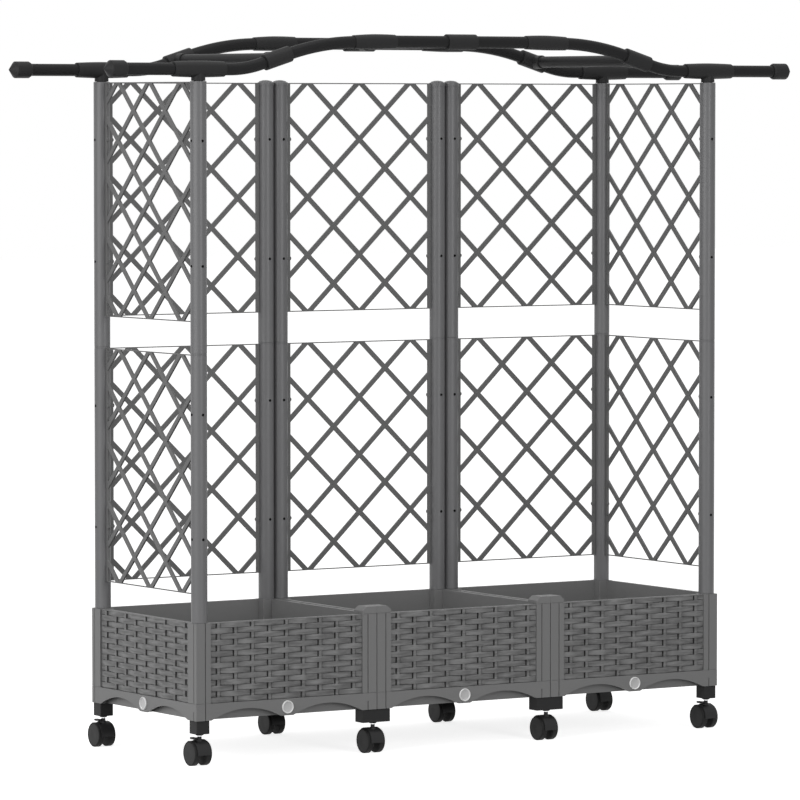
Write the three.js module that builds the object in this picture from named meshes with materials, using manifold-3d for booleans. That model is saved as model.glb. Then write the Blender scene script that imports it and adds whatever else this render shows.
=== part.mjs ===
// A row of three planter boxes on twin-wheel casters. Round posts stand on the corner columns of the boxes
// and hold lattice panels along the back and both sides, and a pair of arched rails joined by cross bars
// runs over the top. Millimetres, +Z up, +X along the row, +Y towards the back, floor at z = 0.

import * as THREE from "three";
import { mergeVertices } from "three/addons/utils/BufferGeometryUtils.js";
import Module from "manifold-3d";

// ---------------------------------------------------------------- driving dimensions

// Fits
const seatGap = 0.3; // between pieces that rest on or against each other
const spigotClearance = 0.4; // radial, where a plain peg drops into its hole
const runningClearance = 0.1; // radial, where a shaft turns in its hole

// Boxes
const boxCount = 3;
const boxPitch = 400;
const boxDepth = 400;
const wallHeight = 151.5;
const wallThickness = 8;
const wallInset = 5; // from the column faces back to the deepest part of the weave
const columnSide = 32;
const frontGrooveInset = 20; // from the box edge to the groove on the long faces
const sideGrooveInset = 10; // the same on the short faces
const grooveWidth = 1.6;
const grooveDepth = 1.4;
const columnCapHeight = 14;
const columnCapChamfer = 7;
const columnBoreDepth = 30;

// Woven pattern
const courseCount = 14;
const strandHump = 3.6; // how far the middle of a strand bulges past its ends

// Trays
const trayHeight = 32;
const traySkirt = 4;
const trayPanInset = 14; // from the skirt face to the face of the pan wall
const trayWall = 3;
const trayPanLift = 3.5; // underside of the pan above the underside of the skirt
const trayFloor = 3;
const archSpan = 154;
const archRise = 19;
const archOffset = 90; // from the middle of a side to the middle of an arch
const plugDiameter = 26;
const plugProud = 2.5;
const plugLift = 16; // plug axis above the underside of the skirt
const plugBossWidth = 36;

// Soil grids
const gridThickness = 3;
const gridRise = 27; // top of the pan floor to the underside of the grid
const gridSlotLength = 60;
const gridSlotWidth = 9;
const gridSlotCount = 3;
const gridSlotPitch = 104;
const gridLegSide = 18;
const gridLegPitch = 240;

// Foot blocks
const blockSide = 28;
const junctionBlockLength = 62;
const blockHeight = 25;
const blockBossDiameter = 17;
const blockBossHeight = 3;

// Casters
const wheelDiameter = 47;
const wheelWidth = 13;
const wheelSpacing = 24; // middle of one wheel to middle of the other
const wheelRounding = 4;
const wheelDish = 1.5;
const axleDiameter = 6;
const casterTrail = 7; // wheel axle behind the swivel stem
const hoodWall = 1.7;
const hoodClearance = 0.6; // hood to wheel tread
const hoodWidth = 28;
const hoodWebWidth = 9;
const hoodFrontDrop = 2.5; // front edge of the hood below the axle
const hoodBackRise = 10; // back edge of the hood above the axle
const stemDiameter = 8;
const stemInsert = 18;
const stemShown = 3.3;
const stemCollarDiameter = 11;
const stemCollarHeight = 4;

// Brake levers, on the four corner casters
const leverWidth = 7;
const leverLength = 17;
const leverThickness = 2.2;
const leverBarrelDiameter = 5;
const leverPinDiameter = 2.6;
const leverAhead = 8; // pivot in front of the axle
const leverLift = 1.6; // pivot above the top of the hood

// Posts
const postDiameter = 31;
const postInset = 16; // post axis from the two faces of its box
const lowerTubeLength = 503.5;
const upperTubeLength = 511;
const seamWidth = 2;
const seamDepth = 0.8;
const postSpigotDiameter = 20;
const postCapRim = 0.8;
const postCapRimHeight = 6;
const postCapDome = 3.5;

// Lattice panels
const lowerPanelLift = 52; // above the walls
const upperPanelLift = 60; // above the joint of the tubes
const panelDrop = 1; // top of a panel below the end of its tube
const panelThickness = 4;
const panelSideBar = 7.5;
const panelEndBar = 2;
const stripWidth = 9.4;
const stripPitch = 120;
const diamondHeight = 114;
const smallestOpening = 60; // mm2; the lattice is solid where less would be left

// Arched rails and cross bars
const railDiameter = 23.4;
const railOverhang = 186; // tip of the rail past the end of the boxes
const teeDiameter = 28.5; // at its ends
const teeBulge = 1.5; // added to the radius in the middle
const teeLength = 120;
const teeStubDiameter = 27;
const teeLift = 22.5; // rail axis above the top of the posts
const angledSleeveDiameter = 31;
const angledSleeveLength = 66;
const middleSleeveDiameter = 30;
const middleSleeveLength = 66;
const bentSleeveDiameter = 26; // at its ends
const bentSleeveBulge = 1.3;
const bentSleeveHalf = 50;
const archAngle = THREE.MathUtils.degToRad(17);
const crownAngle = THREE.MathUtils.degToRad(2);
const bendPlace = 200; // bent sleeve from the middle of the row
const crownRun = 135; // level run of the upper curve
const footRun = 68; // level run of the lower curve
const endCapDiameter = 32;
const endCapLength = 53;
const endCapNose = 13.5;
const endCapShoulder = 1.4; // radius given up where the cone meets the side of the cap
const endCapNeck = 4.5;
const socketDiameter = 27;
const socketReach = 30; // from the rail axis
const crossBarDiameter = 21;
const crossBarInsert = 12;

// Facets round the circumference
const postSides = 12;
const railSides = 10;
const wheelSides = 16;
const smallSides = 8;

// ---------------------------------------------------------------- levels and places that follow

const wheelRadius = wheelDiameter / 2;
const treadRadius = wheelRadius / Math.cos(Math.PI / wheelSides); // corners of the faceted tread
const hoodInside = (treadRadius + hoodClearance) / Math.cos(Math.PI / wheelSides);
const hoodRadius = hoodInside + hoodWall;
const hoodTop = wheelRadius + hoodRadius;
const bossUnderside = hoodTop + stemCollarHeight + stemShown;
const blockUnderside = bossUnderside + blockBossHeight;
const trayUnderside = blockUnderside + blockHeight + seatGap;
const trayTop = trayUnderside + trayHeight;
const wallUnderside = trayTop + seatGap;
const wallTop = wallUnderside + wallHeight;
const postUnderside = wallTop + seatGap;
const postSeam = postUnderside + lowerTubeLength;
const postTop = postSeam + upperTubeLength;
const railHeight = postTop + teeLift;
const panFloorTop = trayUnderside + trayPanLift + trayFloor;
const gridUnderside = panFloorTop + gridRise;
const lowerPanelUnderside = wallTop + lowerPanelLift;
const lowerPanelHeight = postSeam - panelDrop - lowerPanelUnderside;
const upperPanelUnderside = postSeam + upperPanelLift;
const upperPanelHeight = postTop - panelDrop - upperPanelUnderside;

const rowLength = boxCount * boxPitch;
const boxSide = boxPitch - seatGap;
const postLineY = boxDepth / 2 - postInset;
const boxCentres = Array.from({ length: boxCount }, (_, i) => (i - (boxCount - 1) / 2) * boxPitch);
const junctions = Array.from({ length: boxCount + 1 }, (_, i) => (i - boxCount / 2) * boxPitch);
const boxNames = boxCount === 3 ? ["left", "middle", "right"] : boxCentres.map((_, i) => `box${i + 1}`);

// ---------------------------------------------------------------- solids

const wasm = await Module();
wasm.setup();

// A closed geometry as a solid that can be joined and cut.
function solid(geometry) {
  const bare = geometry.clone();
  bare.deleteAttribute("normal");
  bare.deleteAttribute("uv");
  const merged = mergeVertices(bare, 1e-4);
  return new wasm.Manifold(
    new wasm.Mesh({
      numProp: 3,
      vertProperties: merged.getAttribute("position").array,
      triVerts: new Uint32Array(merged.index.array),
    }),
  );
}

function geometryOf(manifold) {
  const mesh = manifold.getMesh();
  const geometry = new THREE.BufferGeometry();
  geometry.setAttribute("position", new THREE.BufferAttribute(new Float32Array(mesh.vertProperties), 3));
  geometry.setIndex(new THREE.BufferAttribute(new Uint32Array(mesh.triVerts), 1));
  const faceted = geometry.toNonIndexed();
  faceted.computeVertexNormals();
  return faceted;
}

const join = (first, ...others) => others.reduce((sum, other) => sum.add(other), first);
const cut = (body, ...tools) => tools.reduce((rest, tool) => rest.subtract(tool), body);

// A box between two corners.
function block(x0, y0, z0, x1, y1, z1) {
  const geometry = new THREE.BoxGeometry(x1 - x0, y1 - y0, z1 - z0);
  return solid(geometry.translate((x0 + x1) / 2, (y0 + y1) / 2, (z0 + z1) / 2));
}

// A revolved solid about the given axis through `at`; the profile lists [radius, distance along the axis].
function revolve(profile, sides, axis = "z", at = [0, 0, 0]) {
  const points = profile.map(([radius, along]) => new THREE.Vector2(radius, along));
  const geometry = new THREE.LatheGeometry(points, sides, Math.PI / sides);
  if (axis === "x") geometry.rotateZ(-Math.PI / 2);
  if (axis === "z") geometry.rotateX(Math.PI / 2);
  return solid(geometry.translate(...at));
}

// A cylinder along an axis from `start` to `end`, at the other two coordinates of `at`.
function rod(radius, start, end, sides, axis = "z", at = [0, 0, 0]) {
  return revolve([[0, start], [radius, start], [radius, end], [0, end]], sides, axis, at);
}

// The corner radius of a hole whose flats clear a shaft by `clearance` at every angle.
const holeRadius = (shaftRadius, clearance, sides) => (shaftRadius + clearance) / Math.cos(Math.PI / sides);

function circleShape(radius, sides) {
  const points = Array.from({ length: sides }, (_, i) => {
    const angle = ((i + 0.5) * 2 * Math.PI) / sides;
    return new THREE.Vector2(radius * Math.cos(angle), radius * Math.sin(angle));
  });
  return new THREE.Shape(points);
}

// A tube of round section along a curve.
function tube(curve, radius, steps) {
  const options = { extrudePath: curve, steps, bevelEnabled: false };
  return solid(new THREE.ExtrudeGeometry(circleShape(radius, railSides), options));
}

// An outline in the XZ plane, extruded along Y from y0 to y1.
function slab(shape, y0, y1) {
  const options = { depth: y1 - y0, bevelEnabled: false, curveSegments: 3 };
  const geometry = new THREE.ExtrudeGeometry(shape, options);
  return solid(geometry.rotateX(Math.PI / 2).translate(0, y1, 0));
}

function turnedZ(manifold, quarterTurns) {
  return manifold.rotate([0, 0, 90 * quarterTurns]);
}

// ---------------------------------------------------------------- trays

// One side of the skirt, seen from the front: two shallow arches with a boss between them.
function skirtShape(length) {
  const half = length / 2;
  const shape = new THREE.Shape();
  shape.moveTo(-half, 0);
  for (const centre of [-archOffset, archOffset]) {
    shape.lineTo(centre - archSpan / 2, 0);
    shape.quadraticCurveTo(centre - archSpan / 4, archRise, centre, archRise);
    shape.quadraticCurveTo(centre + archSpan / 4, archRise, centre + archSpan / 2, 0);
  }
  shape.lineTo(half, 0);
  shape.lineTo(half, trayHeight);
  shape.lineTo(-half, trayHeight);
  return shape;
}

// One side of the tray with its front at y = -depth / 2, the tray underside at z = 0.
function traySide(length, depth, hasPlug) {
  const front = -depth / 2;
  const pieces = [slab(skirtShape(length), front, front + traySkirt)];
  const pan = length / 2 - trayPanInset;
  const rimBack = front + trayPanInset + trayWall;
  pieces.push(block(-pan, front + trayPanInset, trayPanLift, pan, rimBack, trayHeight));
  pieces.push(block(-pan, front, trayHeight - trayWall, pan, rimBack, trayHeight));
  pieces.push(block(-plugBossWidth / 2, front, trayPanLift, plugBossWidth / 2, rimBack, trayHeight));
  if (hasPlug)
    pieces.push(rod(plugDiameter / 2, front - plugProud, front + 1, smallSides, "y", [0, 0, plugLift]));
  return join(...pieces);
}

function tray(hasLeftPlug, hasRightPlug) {
  const halfX = boxSide / 2;
  const halfY = boxDepth / 2;
  const pan = block(
    -halfX + trayPanInset, -halfY + trayPanInset, trayPanLift,
    halfX - trayPanInset, halfY - trayPanInset, trayPanLift + trayFloor,
  );
  const corners = [-1, 1].flatMap((sx) =>
    [-1, 1].map((sy) => {
      const xs = [sx * halfX, sx * (halfX - columnSide)].sort((a, b) => a - b);
      const ys = [sy * halfY, sy * (halfY - columnSide)].sort((a, b) => a - b);
      return block(xs[0], ys[0], 0, xs[1], ys[1], trayHeight);
    }),
  );
  return join(
    pan,
    ...corners,
    traySide(boxSide, boxDepth, true),
    turnedZ(traySide(boxSide, boxDepth, true), 2),
    turnedZ(traySide(boxDepth, boxSide, hasRightPlug), 1),
    turnedZ(traySide(boxDepth, boxSide, hasLeftPlug), 3),
  );
}

// ---------------------------------------------------------------- woven walls

// The upright section of a wall, one rounded course above another; x is depth, y is height.
function courseSection() {
  const rise = wallHeight / courseCount;
  const shape = new THREE.Shape();
  shape.moveTo(wallThickness, 0);
  for (let i = 0; i < courseCount; i++) {
    shape.lineTo(0, i * rise);
    shape.lineTo(-strandHump, (i + 0.3) * rise);
    shape.lineTo(-strandHump, (i + 0.7) * rise);
  }
  shape.lineTo(0, wallHeight);
  shape.lineTo(wallThickness, wallHeight);
  return shape;
}

// One wall between two columns, its woven face towards -Y, standing on z = 0; a plain wall has no courses.
function wall(length, woven) {
  const run = length - 2 * columnSide + 2;
  if (!woven) return block(-run / 2, -strandHump / 2, 0, run / 2, wallThickness, wallHeight);
  const geometry = new THREE.ExtrudeGeometry(courseSection(), { depth: run, bevelEnabled: false });
  geometry.rotateX(Math.PI / 2).rotateZ(Math.PI / 2);
  return solid(geometry.translate(-run / 2, 0, 0));
}

// A corner column with its outer corner towards -X -Y at the origin, bored for the post or capped.
function column(capped) {
  const top = capped ? wallHeight + columnCapHeight : wallHeight;
  let body = block(0, 0, 0, columnSide, columnSide, top);
  if (capped) body = body.intersect(capEnvelope(top));
  else {
    const bore = holeRadius(postSpigotDiameter / 2, spigotClearance, postSides);
    const place = [postInset, postInset, 0];
    body = cut(body, rod(bore, wallHeight - columnBoreDepth, wallHeight + 1, postSides, "z", place));
  }
  const front = block(
    frontGrooveInset - grooveWidth / 2, -1, -1,
    frontGrooveInset + grooveWidth / 2, grooveDepth, wallHeight,
  );
  const side = block(
    -1, sideGrooveInset - grooveWidth / 2, -1,
    grooveDepth, sideGrooveInset + grooveWidth / 2, wallHeight,
  );
  return cut(body, front, side);
}

// The chamfered head of a column that carries no post.
function capEnvelope(top) {
  const shoulder = top - columnCapChamfer;
  const points = [
    [0, 0], [columnSide, 0], [columnSide, shoulder],
    [columnSide - columnCapChamfer, top], [columnCapChamfer, top], [0, shoulder],
  ].map(([x, z]) => new THREE.Vector2(x, z));
  return slab(new THREE.Shape(points), 0, columnSide);
}

// Four walls and four columns; `box` is the place in the row.
function wallRing(box) {
  const halfX = boxSide / 2;
  const halfY = boxDepth / 2;
  const endLeft = box === 0;
  const endRight = box === boxCount - 1;
  const place = (body, x, y) => body.translate([x, y, 0]);
  const facing = (body, turns, distance) => turnedZ(place(body, 0, -distance + wallInset), turns);
  const walls = [
    facing(wall(boxSide, true), 0, halfY),
    facing(wall(boxSide, true), 2, halfY),
    facing(wall(boxDepth, endRight), 1, halfX),
    facing(wall(boxDepth, endLeft), 3, halfX),
  ];
  const frontLeft = place(column(!endLeft), -halfX, -halfY);
  const frontRight = place(column(!endRight).mirror([1, 0, 0]), halfX, -halfY);
  const backLeft = place(column(false).mirror([0, 1, 0]), -halfX, halfY);
  const backRight = place(column(false).mirror([1, 0, 0]).mirror([0, 1, 0]), halfX, halfY);
  return join(...walls, frontLeft, frontRight, backLeft, backRight);
}

// ---------------------------------------------------------------- soil grid

// A slotted floor on legs, over the water in the tray.
function soilGrid() {
  const halfX = boxSide / 2 - wallInset - wallThickness - seatGap;
  const halfY = boxDepth / 2 - wallInset - wallThickness - seatGap;
  const cornerX = boxSide / 2 - columnSide - seatGap;
  const cornerY = boxDepth / 2 - columnSide - seatGap;
  const plate = join(
    block(-halfX, -cornerY, 0, halfX, cornerY, gridThickness),
    block(-cornerX, -halfY, 0, cornerX, halfY, gridThickness),
  );
  const slots = [];
  for (let i = 0; i < gridSlotCount; i++)
    for (let j = 0; j < gridSlotCount; j++) {
      const x = (i - (gridSlotCount - 1) / 2) * gridSlotPitch;
      const y = (j - (gridSlotCount - 1) / 2) * gridSlotPitch;
      slots.push(
        block(
          x - gridSlotLength / 2, y - gridSlotWidth / 2, -1,
          x + gridSlotLength / 2, y + gridSlotWidth / 2, gridThickness + 1,
        ),
      );
    }
  const legs = [-1, 1].flatMap((sx) =>
    [-1, 1].map((sy) => {
      const x = (sx * gridLegPitch) / 2;
      const y = (sy * gridLegPitch) / 2;
      const half = gridLegSide / 2;
      return block(x - half, y - half, seatGap - gridRise, x + half, y + half, 1);
    }),
  );
  return join(cut(plate, ...slots), ...legs);
}

// ---------------------------------------------------------------- foot blocks and casters

// A block under a column, or under two columns side by side, with the bore for a caster stem; top at z = 0.
function footBlock(length) {
  const half = length / 2;
  const side = blockSide / 2;
  const body = join(
    block(-half, -side, -blockHeight, half, side, 0),
    rod(blockBossDiameter / 2, -blockHeight - blockBossHeight, 1 - blockHeight, smallSides),
  );
  const bore = holeRadius(stemDiameter / 2, runningClearance, smallSides);
  const mouth = -blockHeight - blockBossHeight;
  return cut(body, rod(bore, mouth - 1, mouth + stemInsert + 1, smallSides));
}

// The hood between and over the wheels, with its stem; origin on the floor under the stem.
function casterHood(hasBrake) {
  const axle = [0, casterTrail, wheelRadius];
  const shell = cut(
    rod(hoodRadius, -hoodWidth / 2, hoodWidth / 2, wheelSides, "x", axle),
    rod(hoodInside, -hoodWidth / 2 - 1, hoodWidth / 2 + 1, wheelSides, "x", axle),
  );
  const web = rod(hoodRadius, -hoodWebWidth / 2, hoodWebWidth / 2, wheelSides, "x", axle);
  const reach = hoodRadius + 1;
  const low = wheelRadius - reach;
  const frontEdge = wheelRadius - hoodFrontDrop;
  const backEdge = wheelRadius + hoodBackRise;
  const belowFront = block(-reach, casterTrail - reach, low, reach, casterTrail, frontEdge);
  const belowBack = block(-reach, casterTrail, low, reach, casterTrail + reach, backEdge);
  let body = cut(join(shell, web), belowFront, belowBack);
  const axleSeat = rod(axleDiameter, -hoodWebWidth / 2, hoodWebWidth / 2, smallSides, "x", axle);
  body = join(body, axleSeat);
  const stem = revolve(
    [
      [0, wheelRadius + axleDiameter], [stemCollarDiameter / 2, wheelRadius + axleDiameter],
      [stemCollarDiameter / 2, hoodTop + stemCollarHeight], [stemDiameter / 2, hoodTop + stemCollarHeight],
      [stemDiameter / 2, bossUnderside + stemInsert], [0, bossUnderside + stemInsert],
    ],
    smallSides,
  );
  const webTop = hoodTop - hoodWall;
  const slimStem = stem.intersect(
    join(
      block(-hoodWebWidth / 2, -reach, 0, hoodWebWidth / 2, reach, webTop),
      block(-reach, -reach, webTop - hoodClearance, reach, reach, bossUnderside + stemInsert + 1),
    ),
  );
  body = join(body, slimStem);
  if (hasBrake) body = join(cut(body, leverWindow()), leverPin());
  const bore = holeRadius(axleDiameter / 2, runningClearance, smallSides);
  return cut(body, rod(bore, -hoodWidth, hoodWidth, smallSides, "x", axle));
}

const leverPivot = [0, casterTrail - leverAhead, hoodTop + leverLift];
const leverInner = -hoodWebWidth / 2 - seatGap;
const leverOuter = leverInner - leverWidth;

// The opening in the hood that lets the lever reach the tread.
function leverWindow() {
  const back = leverPivot[1] + leverLength + 2;
  const inner = leverInner + seatGap;
  return block(leverOuter - 1, leverPivot[1] - leverBarrelDiameter, wheelRadius, inner, back, hoodTop + 9);
}

// The pin on the side of the hood that the lever turns on, with its bracket on the web.
function leverPin() {
  const [, y, z] = leverPivot;
  const half = leverBarrelDiameter / 2;
  const web = leverInner + seatGap;
  return join(
    block(web, y - half, hoodTop - hoodRadius / 2, web + 3, y + half, z + half),
    rod(leverPinDiameter / 2, leverOuter, leverInner + 2, smallSides, "x", [0, y, z]),
  );
}

// The brake lever: a barrel on the pin and a flat pad behind it.
function brakeLever() {
  const [, y, z] = leverPivot;
  const body = join(
    rod(leverBarrelDiameter / 2, leverOuter, leverInner, smallSides, "x", [0, y, z]),
    block(leverOuter, y, z, leverInner, y + leverLength, z + leverThickness),
  );
  const bore = holeRadius(leverPinDiameter / 2, runningClearance, smallSides);
  return cut(body, rod(bore, leverOuter - 1, leverInner + 1, smallSides, "x", [0, y, z]));
}

// Two wheels on one axle.
function wheelPair() {
  const inner = (wheelSpacing - wheelWidth) / 2;
  const outer = inner + wheelWidth;
  const half = [
    [axleDiameter / 2, inner], [treadRadius, inner], [treadRadius, outer - wheelRounding],
    [treadRadius - wheelRounding, outer], [0, outer - wheelDish],
  ];
  const profile = [...half.map(([r, x]) => [r, -x]).reverse(), ...half];
  return revolve(profile, wheelSides, "x", [0, casterTrail, wheelRadius]);
}

// ---------------------------------------------------------------- posts

// Two tubes end to end with a spigot below; the corner posts are bored for a tee, the others wear a cap.
function post(bored) {
  const radius = postDiameter / 2;
  const peg = postSpigotDiameter / 2;
  const seam = postSeam;
  const profile = [
    [0, postUnderside - columnBoreDepth + seatGap], [peg, postUnderside - columnBoreDepth + seatGap],
    [peg, postUnderside], [radius, postUnderside],
    [radius, seam - seamWidth / 2], [radius - seamDepth, seam - seamWidth / 2],
    [radius - seamDepth, seam + seamWidth / 2], [radius, seam + seamWidth / 2],
  ];
  if (bored) {
    const bore = holeRadius(peg, spigotClearance, postSides);
    const floor = postTop - columnBoreDepth;
    profile.push([radius, postTop], [bore, postTop], [bore, floor], [0, floor]);
  } else {
    const rim = radius + postCapRim;
    profile.push([radius, postTop - postCapRimHeight], [rim, postTop - postCapRimHeight], [rim, postTop]);
    profile.push([radius * 0.7, postTop + postCapDome], [0, postTop + postCapDome + 1]);
  }
  return revolve(profile, postSides);
}

// ---------------------------------------------------------------- lattice panels

// The part of a convex outline on the side of the line x (or y) = limit that `keep` names.
function clip(points, coordinate, limit, keep) {
  const inside = (p) => keep * (limit - p[coordinate]) >= 0;
  return points.flatMap((p, i) => {
    const q = points[(i + 1) % points.length];
    const kept = inside(p) ? [p] : [];
    if (inside(p) !== inside(q)) {
      const share = (limit - p[coordinate]) / (q[coordinate] - p[coordinate]);
      kept.push(p.clone().lerp(q, share));
    }
    return kept;
  });
}

// The openings of the lattice: diamonds in rows set half a pitch apart, clipped to the frame.
function latticeOpenings(halfWidth, bottom, top) {
  const slope = Math.atan2(diamondHeight, stripPitch);
  const halfX = stripPitch / 2 - stripWidth / 2 / Math.sin(slope);
  const halfZ = diamondHeight / 2 - stripWidth / 2 / Math.cos(slope);
  const openings = [];
  const columns = Math.ceil(halfWidth / (stripPitch / 2)) + 1;
  const middle = (bottom + top) / 2;
  const rowsUp = Math.ceil((top - bottom) / diamondHeight) + 1;
  for (let i = -columns; i <= columns; i++)
    for (let j = -rowsUp; j <= rowsUp; j++) {
      if ((i + j) % 2) continue;
      const x = (i * stripPitch) / 2;
      const z = middle + ((j + 1) * diamondHeight) / 2;
      let points = [
        new THREE.Vector2(x - halfX, z), new THREE.Vector2(x, z - halfZ),
        new THREE.Vector2(x + halfX, z), new THREE.Vector2(x, z + halfZ),
      ];
      points = clip(points, "x", halfWidth, 1);
      points = clip(points, "x", -halfWidth, -1);
      points = clip(points, "y", top, 1);
      points = clip(points, "y", bottom, -1);
      const isLarge = points.length > 2 && Math.abs(THREE.ShapeUtils.area(points)) > smallestOpening;
      if (isLarge) openings.push(new THREE.Shape(points));
    }
  return openings;
}

// A panel between two posts whose axes are `bay` apart, standing in the XZ plane on z = 0.
function latticePanel(bay, height) {
  const half = (bay - postDiameter) / 2 - seatGap;
  const openings = latticeOpenings(half - panelSideBar, panelEndBar, height - panelEndBar);
  const tools = openings.map((opening) => slab(opening, -panelThickness, panelThickness));
  return cut(block(-half, -panelThickness / 2, 0, half, panelThickness / 2, height), ...tools);
}

// ---------------------------------------------------------------- arched rails and cross bars

// Where the axis of the rail runs, from the crown outwards, as [x, z] with z above the tees.
const crownEnd = [
  bendPlace + bentSleeveHalf * Math.cos(crownAngle),
  -bentSleeveHalf * Math.sin(crownAngle),
];
const crownRadius = crownRun / (Math.sin(archAngle) - Math.sin(crownAngle));
const sleeveStart = [
  crownEnd[0] + crownRun,
  crownEnd[1] - crownRadius * (Math.cos(crownAngle) - Math.cos(archAngle)),
];
const sleeveEnd = [
  sleeveStart[0] + angledSleeveLength * Math.cos(archAngle),
  sleeveStart[1] - angledSleeveLength * Math.sin(archAngle),
];
const footRadius = footRun / Math.sin(archAngle);
const footEnd = [sleeveEnd[0] + footRun, sleeveEnd[1] - footRadius * (1 - Math.cos(archAngle))];
const crownHeight = -footEnd[1];
const angledSleeve = [
  (sleeveStart[0] + sleeveEnd[0]) / 2,
  crownHeight + (sleeveStart[1] + sleeveEnd[1]) / 2,
];
const teePlace = rowLength / 2 - postInset;
const railTip = rowLength / 2 + railOverhang;

const railPoint = ([x, z], side) => new THREE.Vector3(side * x, 0, crownHeight + z);

// A curve between two points of the rail axis whose directions there are given as angles below the level.
function railCurve(from, to, fromAngle, toAngle, side) {
  const run = (to[0] - from[0]) / 2 / Math.cos((fromAngle + toAngle) / 2);
  const control = [from[0] + run * Math.cos(fromAngle), from[1] - run * Math.sin(fromAngle)];
  const points = [from, control, to].map((point) => railPoint(point, side));
  return new THREE.QuadraticBezierCurve3(...points);
}

// A round piece along the straight line between two points of the rail axis.
function railRun(from, to, radius, side) {
  return tube(new THREE.LineCurve3(railPoint(from, side), railPoint(to, side)), radius, 1);
}

// A tee over a corner post, with the stub that stands on the post and the spigot inside it.
function tee(x) {
  const half = teeLength / 2;
  const radius = teeDiameter / 2;
  const barrel = [[0, -half], [radius, -half], [radius + teeBulge, 0], [radius, half], [0, half]];
  const peg = postSpigotDiameter / 2;
  const stub = [
    [0, -teeLift - columnBoreDepth + 1], [peg, -teeLift - columnBoreDepth + 1], [peg, -teeLift + seatGap],
    [teeStubDiameter / 2, -teeLift + seatGap], [teeStubDiameter / 2, 0], [0, 0],
  ];
  return join(revolve(barrel, railSides, "x", [x, 0, 0]), revolve(stub, railSides, "z", [x, 0, 0]));
}

function endCap(side) {
  const inner = railTip - endCapLength;
  const radius = endCapDiameter / 2;
  const shoulder = radius - endCapShoulder;
  const profile = [
    [0, inner], [railDiameter / 2 + 1, inner], [radius, inner + endCapNeck],
    [radius, railTip - endCapNose], [shoulder, railTip - endCapNose + 2 * endCapShoulder], [0, railTip],
  ];
  const cap = revolve(profile, railSides, "x");
  return side > 0 ? cap : cap.mirror([1, 0, 0]);
}

// A socket on the side of a sleeve that takes a cross bar, reaching towards +Y.
function sideSocket(x, z) {
  const bore = holeRadius(crossBarDiameter / 2, spigotClearance, railSides);
  const depth = crossBarInsert + seatGap;
  return {
    body: rod(socketDiameter / 2, 0, socketReach, railSides, "y", [x, 0, z]),
    hole: rod(bore, socketReach - depth, socketReach + 1, railSides, "y", [x, 0, z]),
  };
}

const socketPlaces = [
  { name: "left", x: -angledSleeve[0], z: angledSleeve[1] },
  { name: "middle", x: 0, z: crownHeight },
  { name: "right", x: angledSleeve[0], z: angledSleeve[1] },
];

// A sleeve over the bend of the rail, thickest in its middle.
function bentSleeve(side) {
  const end = bentSleeveDiameter / 2;
  const half = bentSleeveHalf + 0.5; // takes in the end of the curved tube
  const barrel = [[0, -half], [end, -half], [end + bentSleeveBulge, 0], [end, half], [0, half]];
  const tilt = (side * THREE.MathUtils.radToDeg(crownAngle)) / 2;
  return revolve(barrel, railSides, "x").rotate([0, tilt, 0]).translate([side * bendPlace, 0, crownHeight]);
}

// A rail with its axis at y = 0 and its tees at z = 0, its sockets towards +Y.
function archRail() {
  const radius = railDiameter / 2;
  const pieces = [];
  for (const side of [-1, 1]) {
    pieces.push(railRun([railTip - endCapLength + 1, footEnd[1]], footEnd, radius, side));
    pieces.push(tube(railCurve(sleeveEnd, footEnd, archAngle, 0, side), radius, 3));
    pieces.push(railRun(sleeveStart, sleeveEnd, angledSleeveDiameter / 2, side));
    pieces.push(tube(railCurve(crownEnd, sleeveStart, crownAngle, archAngle, side), radius, 4));
    pieces.push(bentSleeve(side), tee(side * teePlace), endCap(side));
  }
  const level = bendPlace - bentSleeveHalf + 1;
  const middle = middleSleeveLength / 2;
  const centre = [0, 0, crownHeight];
  pieces.push(rod(radius, -level, level, railSides, "x", centre));
  pieces.push(rod(middleSleeveDiameter / 2, -middle, middle, railSides, "x", centre));
  const sockets = socketPlaces.map(({ x, z }) => sideSocket(x, z));
  return cut(join(...pieces, ...sockets.map((s) => s.body)), ...sockets.map((s) => s.hole));
}

function crossBar() {
  const half = postLineY - socketReach + crossBarInsert - seatGap;
  return rod(crossBarDiameter / 2, -half, half, railSides, "y");
}

// ---------------------------------------------------------------- materials

function plastic(name, color, roughness) {
  const material = new THREE.MeshStandardMaterial({ color, roughness, metalness: 0 });
  material.name = name;
  return material;
}

const boxGrey = plastic("box_grey", 0x757575, 0.62);
const gridGrey = plastic("grid_grey", 0x666666, 0.7);
const trellisGrey = plastic("trellis_grey", 0x6c6c6c, 0.58);
const postGrey = plastic("post_grey", 0x747476, 0.5);
const railBlack = plastic("rail_black", 0x323232, 0.45);
const blockBlack = plastic("block_black", 0x343434, 0.5);
const hoodBlack = plastic("hood_black", 0x2e2e2e, 0.42);
const wheelBlack = plastic("wheel_black", 0x2b2b2b, 0.6);
const leverBlack = plastic("lever_black", 0x262626, 0.5);

// ---------------------------------------------------------------- assembly

const planter = new THREE.Group();
planter.name = "planter_with_trellis";
planter.position.y = -casterTrail; // centres the footprint, wheels included

function add(name, manifold, material, x = 0, y = 0, z = 0, turn = 0) {
  const mesh = new THREE.Mesh(geometryOf(manifold), material);
  mesh.name = name;
  mesh.position.set(x, y, z);
  mesh.rotation.z = turn;
  planter.add(mesh);
  return mesh;
}

boxCentres.forEach((x, i) => {
  add(`tray_${boxNames[i]}`, tray(i === 0, i === boxCount - 1), boxGrey, x, 0, trayUnderside);
  add(`wall_ring_${boxNames[i]}`, wallRing(i), boxGrey, x, 0, wallUnderside);
  add(`soil_grid_${boxNames[i]}`, soilGrid(), gridGrey, x, 0, gridUnderside);
});

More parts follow.
